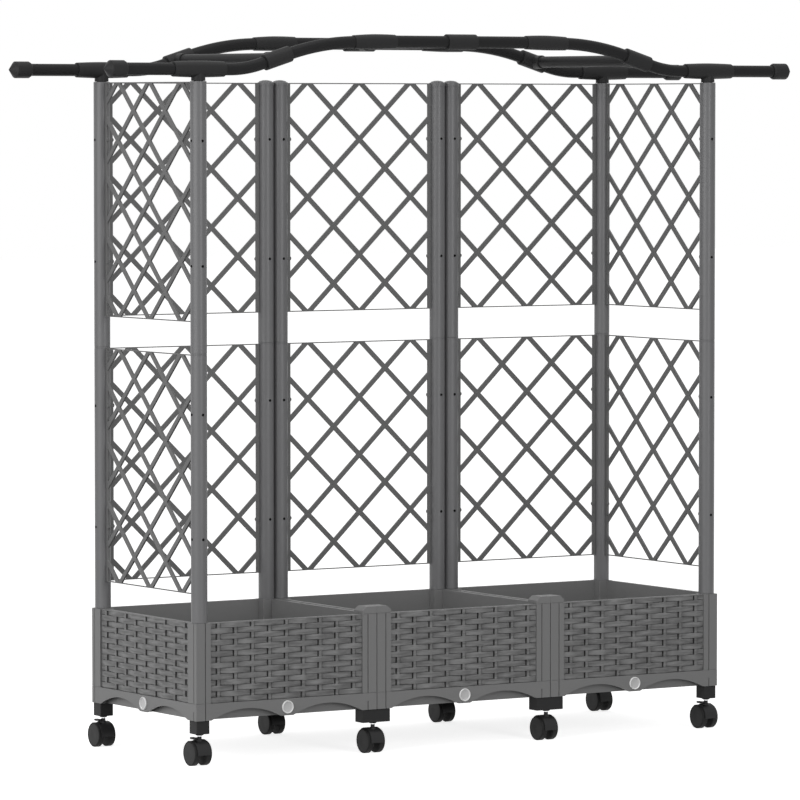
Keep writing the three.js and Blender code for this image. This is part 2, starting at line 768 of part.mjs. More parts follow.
// Feet: a block and a caster under each column or pair of columns.
const rows = [
  { name: "front", sign: -1 },
  { name: "back", sign: 1 },
];
junctions.forEach((junction, i) => {
  const isCorner = i === 0 || i === boxCount;
  const side = i === 0 ? 1 : -1;
  const x = isCorner ? junction + side * postInset : junction;
  const place = isCorner ? (i === 0 ? "left" : "right") : `junction${i}`;
  for (const row of rows) {
    const y = row.sign * postLineY;
    const name = `${row.name}_${place}`;
    const length = isCorner ? blockSide : junctionBlockLength;
    add(`foot_block_${name}`, footBlock(length), blockBlack, x, y, blockUnderside + blockHeight);
    add(`caster_hood_${name}`, casterHood(isCorner), hoodBlack, x, y, 0);
    add(`caster_wheels_${name}`, wheelPair(), wheelBlack, x, y, 0);
    if (isCorner) add(`brake_lever_${name}`, brakeLever(), leverBlack, x, y, 0);
  }
});

// Posts: one at each end in front, and one on every back column.
const ends = [
  { name: "left", sign: -1 },
  { name: "right", sign: 1 },
];
for (const end of ends)
  for (const row of rows) {
    const name = `post_${row.name}_${end.name}`;
    add(name, post(true), postGrey, end.sign * teePlace, row.sign * postLineY);
  }
junctions.slice(1, -1).forEach((junction, i) => {
  add(`post_back_inner${2 * i + 1}`, post(false), postGrey, junction - postInset, postLineY);
  add(`post_back_inner${2 * i + 2}`, post(false), postGrey, junction + postInset, postLineY);
});

// Panels: one bay behind each box and one on each end, each with a lower and an upper panel.
const levels = [
  { name: "lower", z: lowerPanelUnderside, height: lowerPanelHeight },
  { name: "upper", z: upperPanelUnderside, height: upperPanelHeight },
];
for (const level of levels) {
  const backPanel = latticePanel(boxPitch - 2 * postInset, level.height);
  const sidePanel = latticePanel(2 * postLineY, level.height);
  boxCentres.forEach((x, i) => {
    add(`lattice_back_${boxNames[i]}_${level.name}`, backPanel, trellisGrey, x, postLineY, level.z);
  });
  for (const end of ends) {
    const name = `lattice_side_${end.name}_${level.name}`;
    add(name, sidePanel, trellisGrey, end.sign * teePlace, 0, level.z, Math.PI / 2);
  }
}

// The arch: a rail along the front and one along the back, their sockets facing each other.
add("arch_rail_front", archRail(), railBlack, 0, -postLineY, railHeight);
add("arch_rail_back", archRail(), railBlack, 0, postLineY, railHeight, Math.PI);
for (const { name, x, z } of socketPlaces)
  add(`cross_bar_${name}`, crossBar(), railBlack, x, 0, railHeight + z);

export default planter;
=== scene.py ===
"""A row of three woven-look planter boxes on casters, with lattice panels and two arched hanging rails."""

import math

import bmesh
import bpy
from bpy.props import FloatProperty, FloatVectorProperty, IntProperty, PointerProperty
from mathutils import Matrix, Vector
from mathutils.geometry import interpolate_bezier


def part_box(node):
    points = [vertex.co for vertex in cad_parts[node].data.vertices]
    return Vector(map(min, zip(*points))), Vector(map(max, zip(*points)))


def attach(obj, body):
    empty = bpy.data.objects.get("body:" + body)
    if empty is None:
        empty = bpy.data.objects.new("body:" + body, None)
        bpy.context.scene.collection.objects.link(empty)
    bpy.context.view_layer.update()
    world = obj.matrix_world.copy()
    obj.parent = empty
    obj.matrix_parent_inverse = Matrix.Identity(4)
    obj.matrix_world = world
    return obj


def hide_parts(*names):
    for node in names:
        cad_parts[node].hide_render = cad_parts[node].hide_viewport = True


bl_info = {
    "name": "Planter with trellis",
    "version": (1, 0, 0),
    "blender": (4, 5, 0),
    "location": "3D View > Sidebar > Planter",
    "description": "Builds the boxes, casters, posts, lattices and hanging rails of the planter",
    "category": "Add Mesh",
}

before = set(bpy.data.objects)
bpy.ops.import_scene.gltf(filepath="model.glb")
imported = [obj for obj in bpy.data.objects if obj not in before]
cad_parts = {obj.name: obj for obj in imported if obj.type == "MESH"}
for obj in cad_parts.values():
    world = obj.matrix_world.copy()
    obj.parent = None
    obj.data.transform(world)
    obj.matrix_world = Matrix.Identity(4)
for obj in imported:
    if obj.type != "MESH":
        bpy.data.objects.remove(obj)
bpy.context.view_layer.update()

MM = 0.001
TINY = 1e-6  # places nearer than this are the same
CUT_REACH = 1e-7  # a cut that passes this near a corner goes through it
RAIL_SIDES = 40
AXIS_TURNS = {
    "X": Matrix.Rotation(math.pi / 2, 4, "Y"),
    "Y": Matrix.Rotation(-math.pi / 2, 4, "X"),
    "Z": Matrix.Identity(4),
}
STANDING = {
    "X": Matrix(((0, 0, 1, 0), (1, 0, 0, 0), (0, 1, 0, 0), (0, 0, 0, 1))),
    "Y": Matrix(((1, 0, 0, 0), (0, 0, 1, 0), (0, 1, 0, 0), (0, 0, 0, 1))),
    "Z": Matrix.Identity(4),
}


# ---------------------------------------------------------------- sizes and colours a user would change


def length(name, description, default):
    return FloatProperty(
        name=name, description=description, default=default, min=0.0, subtype="DISTANCE", unit="LENGTH"
    )


def power(name, description, default):
    return FloatProperty(name=name, description=description, default=default, min=0.0)


def colour(name, description, default):
    return FloatVectorProperty(
        name=name, description=description, default=default, min=0.0, max=1.0, size=3, subtype="COLOR"
    )


class WeaveSettings(bpy.types.PropertyGroup):
    courses: IntProperty(name="Courses", description="Strands one above another", default=14, min=2)
    stake_pitch: length("Stake pitch", "From one upright stake to the next", 0.0374)
    stake_width: length("Stake width", "Width of an upright stake", 0.006)
    stake_recess: length("Stake recess", "Stake face behind the column faces", 0.0027)
    crest_recess: length("Crest recess", "Strand behind the column faces where it crosses over", 0.0008)
    valley_recess: length("Valley recess", "Strand behind the column faces where it goes under", 0.0055)
    slot_width: length("Slot width", "Gap between the end of a visible strand and a stake", 0.0022)
    strand_gap: length("Strand gap", "Gap between two courses", 0.0006)
    tint: colour("Box colour", "Grey of the boxes and trays", (0.178, 0.178, 0.178))


class CasterSettings(bpy.types.PropertyGroup):
    wheel_width: length("Wheel width", "Width of one of the two wheels", 0.0118)
    wheel_rounding: length("Tread rounding", "Radius of the edges of the tread", 0.0018)
    hood_tint: colour("Hood colour", "Black of the hoods", (0.0250, 0.0250, 0.0255))
    wheel_tint: colour("Wheel colour", "Black of the wheels", (0.0165, 0.0165, 0.0165))


class TrellisSettings(bpy.types.PropertyGroup):
    strip_width: length("Strip width", "Width of the crossed strips", 0.0094)
    strip_pitch: length("Strip pitch", "Width of a diamond", 0.120)
    diamond_height: length("Diamond height", "Height of a diamond", 0.114)
    side_bar: length("Side bar", "Width of the bar against a post", 0.0075)
    end_bar: length("End bar", "Height of the top and bottom bars", 0.002)
    # partly painted shade: this grey is darker than the panels' plastic, standing in for the shade of plants
    # that are not built
    tint: colour("Lattice colour", "Grey of the lattice panels", (0.122, 0.122, 0.122))


class PostSettings(bpy.types.PropertyGroup):
    radius: length("Radius", "Outer radius of the tubes", 0.0155)
    seam: length("Seam", "Height of the groove between two tubes", 0.003)
    screw_radius: length("Screw radius", "Radius of the dark screw heads", 0.0027)
    tint: colour("Post colour", "Grey of the posts", (0.152, 0.152, 0.156))


class RailSettings(bpy.types.PropertyGroup):
    tube_radius: length("Tube radius", "Outer radius of the rail tube", 0.0117)
    tube_tint: colour("Tube colour", "Black of the tubes", (0.0155, 0.0155, 0.016))
    fitting_tint: colour("Fitting colour", "Black of the sleeves, tees and caps", (0.0235, 0.0235, 0.024))


class StudioSettings(bpy.types.PropertyGroup):
    ambient: power("Ambient", "Even light from all round", 0.36)
    side_lamp: power("Side lamp", "Power of the lamp at the left", 115.0)
    front_lamp: power("Front lamp", "Power of the lamp in front", 48.0)
    top_lamp: power("Top lamp", "Power of the lamp overhead", 34.0)


# ---------------------------------------------------------------- shaders


def feed(tree, slot, value):
    """Links a value into a socket, or sets the socket to a plain number, vector or colour."""
    if isinstance(value, Value):
        tree.links.new(value.socket, slot)
    else:
        slot.default_value = value


class Value:
    """A shader socket that takes part in Python arithmetic through Math nodes."""

    def __init__(self, tree, socket):
        self.tree = tree
        self.socket = socket

    def math(self, operation, *values):
        node = self.tree.nodes.new("ShaderNodeMath")
        node.operation = operation
        for slot, value in zip(node.inputs, values):
            feed(self.tree, slot, value)
        return Value(self.tree, node.outputs[0])

    def __add__(self, other):
        return self.math("ADD", self, other)

    __radd__ = __add__

    def __mul__(self, other):
        return self.math("MULTIPLY", self, other)

    __rmul__ = __mul__

    def __sub__(self, other):
        return self.math("SUBTRACT", self, other)


class Nodes:
    """A node tree, and the nodes that are made in it."""

    def __init__(self, tree):
        self.tree = tree

    def node(self, kind, settings=None, sockets=None, output=0):
        node = self.tree.nodes.new(kind)
        for name, value in (settings or {}).items():
            setattr(node, name, value)
        for name, value in (sockets or {}).items():
            feed(self.tree, node.inputs[name], value)
        return Value(self.tree, node.outputs[output])

    def seen(self):
        """1 where a camera, mirror or glass ray looks, and 0 for the light that falls on other things."""
        kinds = ("Camera", "Glossy", "Transmission")
        rays = [self.node("ShaderNodeLightPath", output=f"Is {kind} Ray") for kind in kinds]
        total = rays[0] + rays[1] + rays[2]
        return total.math("MINIMUM", total, 1.0)


class Finish(Nodes):
    """One material: its Principled shader and the nodes that feed it."""

    def __init__(self, name):
        self.material = bpy.data.materials.new(name)
        self.material.use_nodes = True
        super().__init__(self.material.node_tree)
        self.shader = self.tree.nodes["Principled BSDF"]
        self.place = self.node("ShaderNodeTexCoord", output="Object")

    def noise(self, scale, detail=3.0, stretch=(1.0, 1.0, 1.0)):
        """Noise from 0 to 1 over the object; a small stretch draws it out along that axis."""
        place = self.node("ShaderNodeMapping", sockets={"Vector": self.place, "Scale": stretch})
        return self.node("ShaderNodeTexNoise", sockets={"Vector": place, "Scale": scale, "Detail": detail})

    def blend(self, amount, low, high):
        """A colour between two colours."""
        low, high = (end if isinstance(end, Value) else (*end, 1.0) for end in (low, high))
        return self.node("ShaderNodeMix", {"data_type": "RGBA"}, {0: amount, 6: low, 7: high}, output=2)

    def bump(self, height, distance, strength=0.5):
        sockets = {"Height": height, "Distance": distance, "Strength": strength}
        return self.node("ShaderNodeBump", sockets=sockets)

    def set(self, **sockets):
        """Feeds the shader's inputs, named with _ for a space, and gives the material."""
        for name, value in sockets.items():
            feed(self.tree, self.shader.inputs[name.replace("_", " ")], value)
        return self.material


def grey(share):
    return (share, share, share)


def shaded(tint, share):
    return tuple(channel * share for channel in tint)


def finish_of(name, build, *values):
    """The material of that name, made the first time it is asked for."""
    return bpy.data.materials.get(name) or build(name, *values)


def moulded_plastic(name, tint, roughness, grain=900.0, variation=0.07, depth=0.00012, gloss=0.5):
    """Moulded plastic: a faint cloudiness, a fine pebbled grain and slightly uneven gloss."""
    finish = Finish(name)
    cloud = finish.noise(6.0, 2.0)
    pebble = finish.noise(grain, 2.0)
    tone = 0.65 * cloud + 0.35 * pebble
    return finish.set(
        Base_Color=finish.blend(tone, shaded(tint, 1 - variation), shaded(tint, 1 + variation)),
        Roughness=roughness - 0.05 + 0.1 * pebble,
        Normal=finish.bump(pebble, depth),
        Specular_IOR_Level=gloss,
    )


def black_plastic(name, tint, roughness, gloss, grain=900.0, variation=0.08):
    """Moulded plastic of a dark piece, with a shallower grain and little shine."""
    return moulded_plastic(name, tint, roughness, grain, variation, 0.0001, gloss)


def woven_plastic(name, tint, roughness):
    """The strands: fine streaks that run along them, as in peeled cane, pressed into the plastic."""
    finish = Finish(name)
    cloud = finish.noise(9.0, 2.0)
    streaks = finish.noise(1.0, 4.0, (32.0, 32.0, 200.0))
    fibres = finish.noise(1.0, 2.0, (70.0, 70.0, 1500.0))
    tone = 0.3 * cloud + 3.0 * streaks + 0.6 * fibres - 1.45
    return finish.set(
        Base_Color=finish.blend(tone, shaded(tint, 0.66), shaded(tint, 1.34)),
        Roughness=roughness - 0.06 + 0.12 * streaks,
        Normal=finish.bump(0.7 * streaks + 0.3 * fibres, 0.0006, 0.7),
        Specular_IOR_Level=0.4,
    )


def drawn_plastic(name, tint, roughness, stretch, gloss):
    """Extruded tube: faint lines along its length, and a satin surface."""
    finish = Finish(name)
    cloud = finish.noise(5.0, 2.0)
    lines = finish.noise(1.0, 2.0, stretch)
    tone = 0.5 * cloud + 0.5 * lines
    return finish.set(
        Base_Color=finish.blend(tone, shaded(tint, 0.95), shaded(tint, 1.05)),
        Roughness=roughness - 0.04 + 0.08 * lines,
        Normal=finish.bump(lines, 0.00006),
        Specular_IOR_Level=gloss,
    )


def plated_steel(name, tint):
    """Bright plated steel with fine turned lines round the stem."""
    finish = Finish(name)
    lines = finish.noise(1.0, 2.0, (300.0, 300.0, 6000.0))
    return finish.set(
        Base_Color=finish.blend(lines, shaded(tint, 0.9), tint),
        Roughness=0.16 + 0.12 * lines,
        Metallic=1.0,
        Normal=finish.bump(lines, 0.00002),
    )


# ---------------------------------------------------------------- forms


def in_mm(points, across=0.0, up=0.0):
    """Points given in millimetres from a place, in metres."""
    return [(across + u * MM, up + v * MM) for u, v in points]


def bevelled(form, edges, width, segments=2):
    bmesh.ops.bevel(
        form, geom=list(edges), offset=width, offset_type="OFFSET", segments=segments,
        profile=0.5, affect="EDGES", clamp_overlap=True, material=-1,
    )
    return form


def softened(form, width, segments=2, angle=math.radians(32)):
    """Rounds every edge that is sharper than an angle."""
    sharp = [e for e in form.edges if e.is_manifold and e.calc_face_angle() > angle]
    return bevelled(form, sharp, width, segments)


def placed(form, matrix):
    bmesh.ops.transform(form, matrix=matrix, verts=form.verts)
    return form


def moved(form, x=0.0, y=0.0, z=0.0):
    return placed(form, Matrix.Translation((x, y, z)))


def turned_about_z(form, quarters):
    return placed(form, Matrix.Rotation(quarters * math.pi / 2, 4, "Z"))


def mirrored(form, across=1, along=1):
    """The form as it is, or mirrored in X or Y where the sign is -1."""
    return placed(form, Matrix.Diagonal((across, along, 1, 1)))


def joined(*forms):
    """The forms in one, closed shell beside closed shell."""
    carrier = bpy.data.meshes.new("carrier")
    whole = bmesh.new()
    for form in forms:
        form.to_mesh(carrier)
        form.free()
        whole.from_mesh(carrier)
    bpy.data.meshes.remove(carrier)
    return whole


def block(low, high, edge=0.0, segments=2):
    form = bmesh.new()
    bmesh.ops.create_cube(form, size=1.0)
    low, high = Vector(low), Vector(high)
    bmesh.ops.scale(form, vec=high - low, verts=form.verts)
    bmesh.ops.translate(form, vec=(low + high) / 2, verts=form.verts)
    return bevelled(form, form.edges, edge, segments) if edge else form


def cut(form, place, normal, dist=0.0):
    """Splits the faces of a form along a plane."""
    everything = form.verts[:] + form.edges[:] + form.faces[:]
    bmesh.ops.bisect_plane(form, geom=everything, dist=dist, plane_co=place, plane_no=normal)


def closed(form):
    """Caps the open ends of a form and turns its faces outwards."""
    bmesh.ops.holes_fill(form, edges=form.edges, sides=0)
    bmesh.ops.recalc_face_normals(form, faces=form.faces)
    return form


def spun(form, edges, axis, angle, steps):
    """Sweeps a line about an axis through the origin; a whole turn closes on itself."""
    bmesh.ops.spin(
        form, geom=form.verts[:] + edges, cent=(0, 0, 0), axis=axis, dvec=(0, 0, 0),
        angle=angle, steps=steps, use_merge=angle == math.tau,
    )
    bmesh.ops.remove_doubles(form, verts=form.verts, dist=TINY)
    return closed(form)


def lathe(profile, axis="Z", segments=48, edge=0.0):
    """A line of (radius, distance along the axis), spun once round the axis and closed at its ends."""
    form = bmesh.new()
    verts = [form.verts.new((radius, 0.0, along)) for radius, along in profile]
    edges = [form.edges.new(pair) for pair in zip(verts, verts[1:])]
    spun(form, edges, (0, 0, 1), math.tau, segments)
    placed(form, AXIS_TURNS[axis])
    return softened(form, edge) if edge else form


def round_bar(radius, low, high, axis, segments, edge=0.0):
    return lathe([(0, low), (radius, low), (radius, high), (0, high)], axis, segments, edge)


def raise_faces(form, faces, height):
    """Gives flat faces a thickness along Z."""
    made = bmesh.ops.extrude_face_region(form, geom=faces)["geom"]
    top = [g for g in made if isinstance(g, bmesh.types.BMVert)]
    bmesh.ops.translate(form, vec=(0, 0, height), verts=top)


def prism(outline, low, high, axis="Z", edge=0.0):
    """An outline in the XY plane raised along Z, or the same stood up so that it is raised along X or Y."""
    form = bmesh.new()
    bottom = form.faces.new([form.verts.new((u, v, low)) for u, v in outline])
    raise_faces(form, [bottom], high - low)
    placed(form, STANDING[axis])
    bmesh.ops.recalc_face_normals(form, faces=form.faces)
    return softened(form, edge) if edge else form


def swept(stations):
    """A round run in the XZ plane through (x, z, slope, radius) stations, closed at its ends."""

    def stance(station):
        x, z, slope, radius = station
        turn = Matrix.Rotation(math.pi / 2 - slope, 4, "Y")
        return Matrix.Translation((x, 0, z)) @ turn @ Matrix.Diagonal((radius, radius, radius, 1))

    form = bmesh.new()
    bmesh.ops.create_circle(form, cap_ends=False, segments=RAIL_SIDES, radius=1.0)
    placed(form, stance(stations[0]))
    edges = form.edges[:]
    for before, after in zip(stations, stations[1:]):
        made = bmesh.ops.extrude_edge_only(form, edges=edges)["geom"]
        ring = {g for g in made if isinstance(g, bmesh.types.BMVert)}
        edges = [g for g in made if isinstance(g, bmesh.types.BMEdge) and set(g.verts) <= ring]
        step = stance(after) @ stance(before).inverted()
        bmesh.ops.transform(form, matrix=step, verts=list(ring))
    return closed(form)


def piece(name, body, parts, replaces, at=(0, 0, 0)):
    """Makes one object of (form, material) pairs, riding on a body and standing for the named nodes."""
    mesh = bpy.data.meshes.new(name)
    whole = bmesh.new()
    for index, (form, material) in enumerate(parts):
        mesh.materials.append(material)
        done = len(whole.faces)
        moved(form, *at).to_mesh(mesh)
        form.free()
        whole.from_mesh(mesh)
        whole.faces.ensure_lookup_table()
        for face in whole.faces[done:]:
            face.material_index = index
            face.smooth = True
    bmesh.ops.recalc_face_normals(whole, faces=whole.faces)
    whole.to_mesh(mesh)
    whole.free()
    mesh.set_sharp_from_angle(angle=math.radians(38))
    made = bpy.data.objects.new(name, mesh)
    bpy.context.scene.collection.objects.link(made)
    weighted = made.modifiers.new("weighted_normals", "WEIGHTED_NORMAL")
    weighted.keep_sharp = True
    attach(made, body)
    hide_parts(*replaces)


# ---------------------------------------------------------------- where things are


BOXES = ("left", "middle", "right")
ROWS = ("front", "back")
STANDS = [f"{row}_{place}" for row in ROWS for place in ("left", "junction1", "junction2", "right")]
CORNERS = ((-1, -1), (1, -1), (-1, 1), (1, 1))
COLUMN_SIDE = 32 * MM
WALL_HEIGHT = 151.5 * MM
SEAM = 0.5 * MM


def middle_of(node):
    low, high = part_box(node)
    return (low + high) / 2


def square_of(name):
    """The middle of a box in plan, the height of its foot and half its side."""
    low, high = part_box(f"wall_ring_{name}")
    return (low.x + high.x) / 2, (low.y + high.y) / 2, low.z, (high.x - low.x) / 2


def row_ends(place):
    """Whether a box ends the row towards -X and towards +X."""
    return {-1: place == 0, 1: place == len(BOXES) - 1}


def in_corner(form, sign_x, sign_y, half):
    """Takes a form with its outer corner at the origin towards -X and -Y to a corner of a square."""
    return moved(mirrored(form, -sign_x, -sign_y), sign_x * half, sign_y * half)


# ---------------------------------------------------------------- woven boxes


PLUNGE_RUN = 0.3 * MM
PLUNGE_DEPTH = 4 * MM
STRAND_BACK = 11 * MM
STAKE_DEPTH = 1.1 * MM
WALL_BACK = 13 * MM
PLAIN_RECESS = 3.4 * MM
CAP_HEIGHT = 14 * MM


def dive_start(weave):
    """How far from its crest a strand dives into the slot beside a stake."""
    return weave.stake_pitch - weave.stake_width / 2 - weave.slot_width


def strand_recess(along, weave, phase):
    """How far a strand lies behind the column faces at a place along the wall."""
    wave = 2 * weave.stake_pitch
    crest = phase * weave.stake_pitch
    away = abs((along - crest + wave / 2) % wave - wave / 2)
    dive = dive_start(weave)
    slope = (1 - math.cos(math.pi * min(away / dive, 1))) / 2
    plunge = min(max((away - dive) / PLUNGE_RUN, 0), 1)
    return weave.crest_recess + (weave.valley_recess - weave.crest_recess) * slope + PLUNGE_DEPTH * plunge


def strand(run, rise, weave, phase):
    """One strand between two columns, standing on z = 0 with its rounded face towards -Y."""
    form = block((-run / 2, 0, 0), (run / 2, STRAND_BACK, rise))

    def is_lip(edge):
        low, high = (vert.co for vert in edge.verts)
        return max(low.y, high.y) < TINY and abs(low.z - high.z) < TINY

    bevelled(form, filter(is_lip, form.edges), 0.8 * MM)
    dive = dive_start(weave)
    offsets = [dive * share for share in (0, 0.2, 0.4, 0.6, 0.8, 0.92, 1)] + [dive + PLUNGE_RUN]
    count = math.ceil(run / weave.stake_pitch) + 1
    for k in range(-count, count + 1):
        crest = (2 * k + phase) * weave.stake_pitch
        for offset in offsets:
            for place in {crest - offset, crest + offset}:
                if abs(place) < run / 2 - 10 * TINY:
                    cut(form, (place, 0, 0), (1, 0, 0))
    for vert in form.verts:
        if vert.co.y < STRAND_BACK - 10 * TINY:
            vert.co.y += strand_recess(vert.co.x, weave, phase)
    return form


def stake_and_core(x, weave):
    """An upright stake, and the block behind it that closes the slots on either side, painted dark as painted
    shade deep in the slots.
    """
    half, end = weave.stake_width / 2, 0.3 * MM
    behind = weave.stake_recess + STAKE_DEPTH
    stake = block((x - half, weave.stake_recess, end), (x + half, behind + end, WALL_HEIGHT - end))
    inset, end = half - 0.05 * MM, 0.4 * MM
    core = block((x - inset, behind, end), (x + inset, STRAND_BACK, WALL_HEIGHT - end))
    return softened(stake, 0.5 * MM), core


def woven_wall(run, weave):
    """Strands and stakes, the dark blocks behind the stakes (painted dark, as painted shade in the slots), and
    the plate and rim; the column faces are at y = 0.
    """
    rise = WALL_HEIGHT / weave.courses
    sources = [strand(run, rise - weave.strand_gap, weave, phase) for phase in (1, 0)]
    strands = []
    for course in range(weave.courses):
        source = sources[(weave.courses - 1 - course) % 2]
        strands.append(moved(source.copy(), z=course * rise + weave.strand_gap / 2))
    for source in sources:
        source.free()
    reach = int((run / 2 - weave.stake_width / 2) / weave.stake_pitch)
    pairs = [stake_and_core(k * weave.stake_pitch, weave) for k in range(-reach, reach + 1)]
    stakes, shade_cores = zip(*pairs)
    plate = block((-run / 2, 10.2 * MM, 0), (run / 2, WALL_BACK, WALL_HEIGHT))
    low, high = WALL_HEIGHT - 2 * MM, WALL_HEIGHT - 0.1 * MM
    rim = block((-run / 2, 3.2 * MM, low), (run / 2, WALL_BACK - 0.1 * MM, high), 0.3 * MM)
    return joined(*strands, *stakes), joined(*shade_cores), joined(plate, rim)


def column_outline(at_junction, front_groove=True, flank_groove=True):
    """The section of a column, its outer corner at the origin towards -X and -Y.

    Each outer face has a groove. The corner that meets another box is cut back to leave a seam.
    """
    side, depth, half = COLUMN_SIDE, 2.4 * MM, 0.8 * MM
    front, flank = 20 * MM, 10 * MM
    outline = [(0, 5 * MM), (SEAM, 5 * MM), (SEAM, 0)] if at_junction else [(0, 0)]
    if front_groove:
        outline += [(front - half, 0), (front - half, depth), (front + half, depth), (front + half, 0)]
    outline += [(side, 0), (side, side), (0, side)]
    if flank_groove and not at_junction:
        outline += [(0, flank + half), (depth, flank + half), (depth, flank - half), (0, flank - half)]
    return outline


def column(capped, at_junction):
    """A column of a box; one that no post stands on wears a cap, cut back away from the junction."""
    shaft = softened(prism(column_outline(at_junction), 0, WALL_HEIGHT), 0.3 * MM, 1)
    if not capped:
        return shaft
    side, base = COLUMN_SIDE, WALL_HEIGHT + 0.5 * MM
    top = WALL_HEIGHT + CAP_HEIGHT
    head = [(0, base), (side, base), (side, top - 7.5 * MM), (side - 9 * MM, top), (0, top)]
    cap = prism(head, 0, side, "Y")
    bevelled(cap, [e for e in cap.edges if any(v.co.x > TINY for v in e.verts)], 0.5 * MM)
    low, high = 1.2 * MM, side - 1.2 * MM
    neck = block((low, low, WALL_HEIGHT - 1 * MM), (high, high, WALL_HEIGHT + 1 * MM))
    return joined(shaft, cap, neck)


class PLANTER_OT_woven_boxes(bpy.types.Operator):
    """Builds the three boxes with their woven walls and corner columns"""

    bl_idname = "planter.woven_boxes"
    bl_label = "Woven boxes"

    def execute(self, context):
        weave = context.scene.planter_weave
        cane = finish_of("woven_box_plastic", woven_plastic, weave.tint, 0.55)
        smooth = finish_of("box_plastic", moulded_plastic, weave.tint, 0.5)
        # painted shade: the blocks behind the stakes get a far darker grey than the walls, for the shade deep
        # in the slots beside the stakes
        slot_shade = finish_of("groove_plastic", black_plastic, shaded(weave.tint, 0.62), 0.7, 0.1, 900.0, 0.1)
        for place, name in enumerate(BOXES):
            x, y, base, half = square_of(name)
            run = 2 * (half - COLUMN_SIDE)
            is_end = row_ends(place)
            woven, shade_cores, plain = [], [], []
            for quarters, is_woven in ((0, True), (2, True), (3, is_end[-1]), (1, is_end[1])):
                if is_woven:
                    forms = zip((woven, shade_cores, plain), woven_wall(run, weave))
                else:
                    forms = [(plain, block((-run / 2, PLAIN_RECESS, 0), (run / 2, WALL_BACK, WALL_HEIGHT)))]
                for group, form in forms:
                    group.append(turned_about_z(moved(form, y=-half), quarters))
            for sign_x, sign_y in CORNERS:
                holds_post = is_end[sign_x] or sign_y > 0
                plain.append(in_corner(column(not holds_post, not is_end[sign_x]), sign_x, sign_y, half))
            parts = [(joined(*woven), cane), (joined(*shade_cores), slot_shade), (joined(*plain), smooth)]
            piece(f"woven_box_{name}", "planter", parts, [f"wall_ring_{name}"], (x, y, base))
        return {"FINISHED"}


# ---------------------------------------------------------------- trays and soil grids


SKIRT_HEIGHT = 32 * MM
PAN_FRONT = 14 * MM
PAN_BACK = 17 * MM
PLUG_HEIGHT = 16 * MM


def skirt_outline(half):
    """One side of the skirt, seen from the front: a shallow arch on either side of the drain plug."""
    rise, span, steps = 19 * MM, 154 * MM, 24
    outline = [(-half, SKIRT_HEIGHT), (-half, 0)]
    for centre in (-90 * MM, 90 * MM):
        for step in range(steps + 1):
            share = 2 * step / steps - 1
            outline.append((centre + share * span / 2, rise * (1 - share**2)))
    return outline + [(half, 0), (half, SKIRT_HEIGHT)]


def tray_side(half):
    """The skirt, the rim behind it and the wall of the pan, with the face of the skirt at y = 0."""
    run, under_rim = half - COLUMN_SIDE, 30 * MM
    skirt = prism(skirt_outline(run), 0, 4 * MM, "Y")
    rim = block((-run, 3.9 * MM, 29 * MM), (run, PAN_BACK, SKIRT_HEIGHT - 0.1 * MM))
    wall = block((-run - 10 * MM, PAN_FRONT, 0.6 * MM), (run + 10 * MM, PAN_BACK, under_rim))
    boss = block((-15 * MM, 3.5 * MM, 1.0 * MM), (15 * MM, PAN_FRONT + 1 * MM, under_rim))
    return joined(skirt, rim, wall, boss)


def tray_corner(at_junction, is_turned):
    """The foot of a column, placed as the column's outline is; one of its grooves stops halfway up."""
    half_way = 17 * MM
    lower = prism(column_outline(at_junction), 0, half_way)
    return joined(lower, prism(column_outline(at_junction, not is_turned, is_turned), half_way, SKIRT_HEIGHT))


def drain_plug():
    """The raised rim and the dish of a round plug, its face towards -Y at the origin; the dish is painted
    greyer than the rim, a painted shade in its recess on top of the real one.
    """
    rim = [(9.7, 0), (10.1, -0.9), (10.6, -2.5), (11.9, -2.5), (12.4, -2.0), (12.4, 1.5), (9.7, 1.5), (9.7, 0)]
    dish = [(0, -0.6), (7.6, -0.6), (8.2, -0.9), (10.0, -0.9), (10.0, 1.5), (0, 1.5)]
    return [lathe(in_mm(line), "Y", 40, 0.2 * MM) for line in (rim, dish)]


class PLANTER_OT_trays(bpy.types.Operator):
    """Builds the trays with their arched skirts and drain plugs, and finishes the soil grids"""

    bl_idname = "planter.trays"
    bl_label = "Trays"

    def execute(self, context):
        tint = context.scene.planter_weave.tint
        smooth = finish_of("box_plastic", moulded_plastic, tint, 0.5)
        milky = finish_of("plug_rim_plastic", moulded_plastic, grey(0.9), 0.35, 700.0, 0.03)
        # partly painted shade: the recessed dish is painted a darker grey than the milky rim, over the real
        # shade of its recess
        shaded_dish = finish_of("plug_plastic", moulded_plastic, grey(0.62), 0.4, 700.0, 0.05)
        grid = finish_of("grid_plastic", moulded_plastic, shaded(tint, 0.8), 0.6)
        for place, name in enumerate(BOXES):
            x, y, _, half = square_of(name)
            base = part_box(f"tray_{name}")[0].z
            edge = half - PAN_FRONT - 1 * MM
            body = [block((-edge, -edge, 3.5 * MM), (edge, edge, 6.5 * MM))]
            rims, dishes = [], []
            is_end = row_ends(place)
            for quarters, has_plug in enumerate((True, is_end[1], True, is_end[-1])):
                body.append(turned_about_z(moved(tray_side(half), y=-half), quarters))
                if has_plug:
                    for form, group in zip(drain_plug(), (rims, dishes)):
                        group.append(turned_about_z(moved(form, y=-half, z=PLUG_HEIGHT), quarters))
            for sign_x, sign_y in CORNERS:
                corner = tray_corner(not is_end[sign_x], sign_x * sign_y < 0)
                body.append(in_corner(corner, sign_x, sign_y, half))
            parts = [(joined(*body), smooth), (joined(*rims), milky), (joined(*dishes), shaded_dish)]
            piece(f"arched_tray_{name}", "planter", parts, [f"tray_{name}"], (x, y, base))
            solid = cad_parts[f"soil_grid_{name}"]
            solid.data.materials.clear()
            solid.data.materials.append(grid)
        return {"FINISHED"}


# ---------------------------------------------------------------- feet and casters


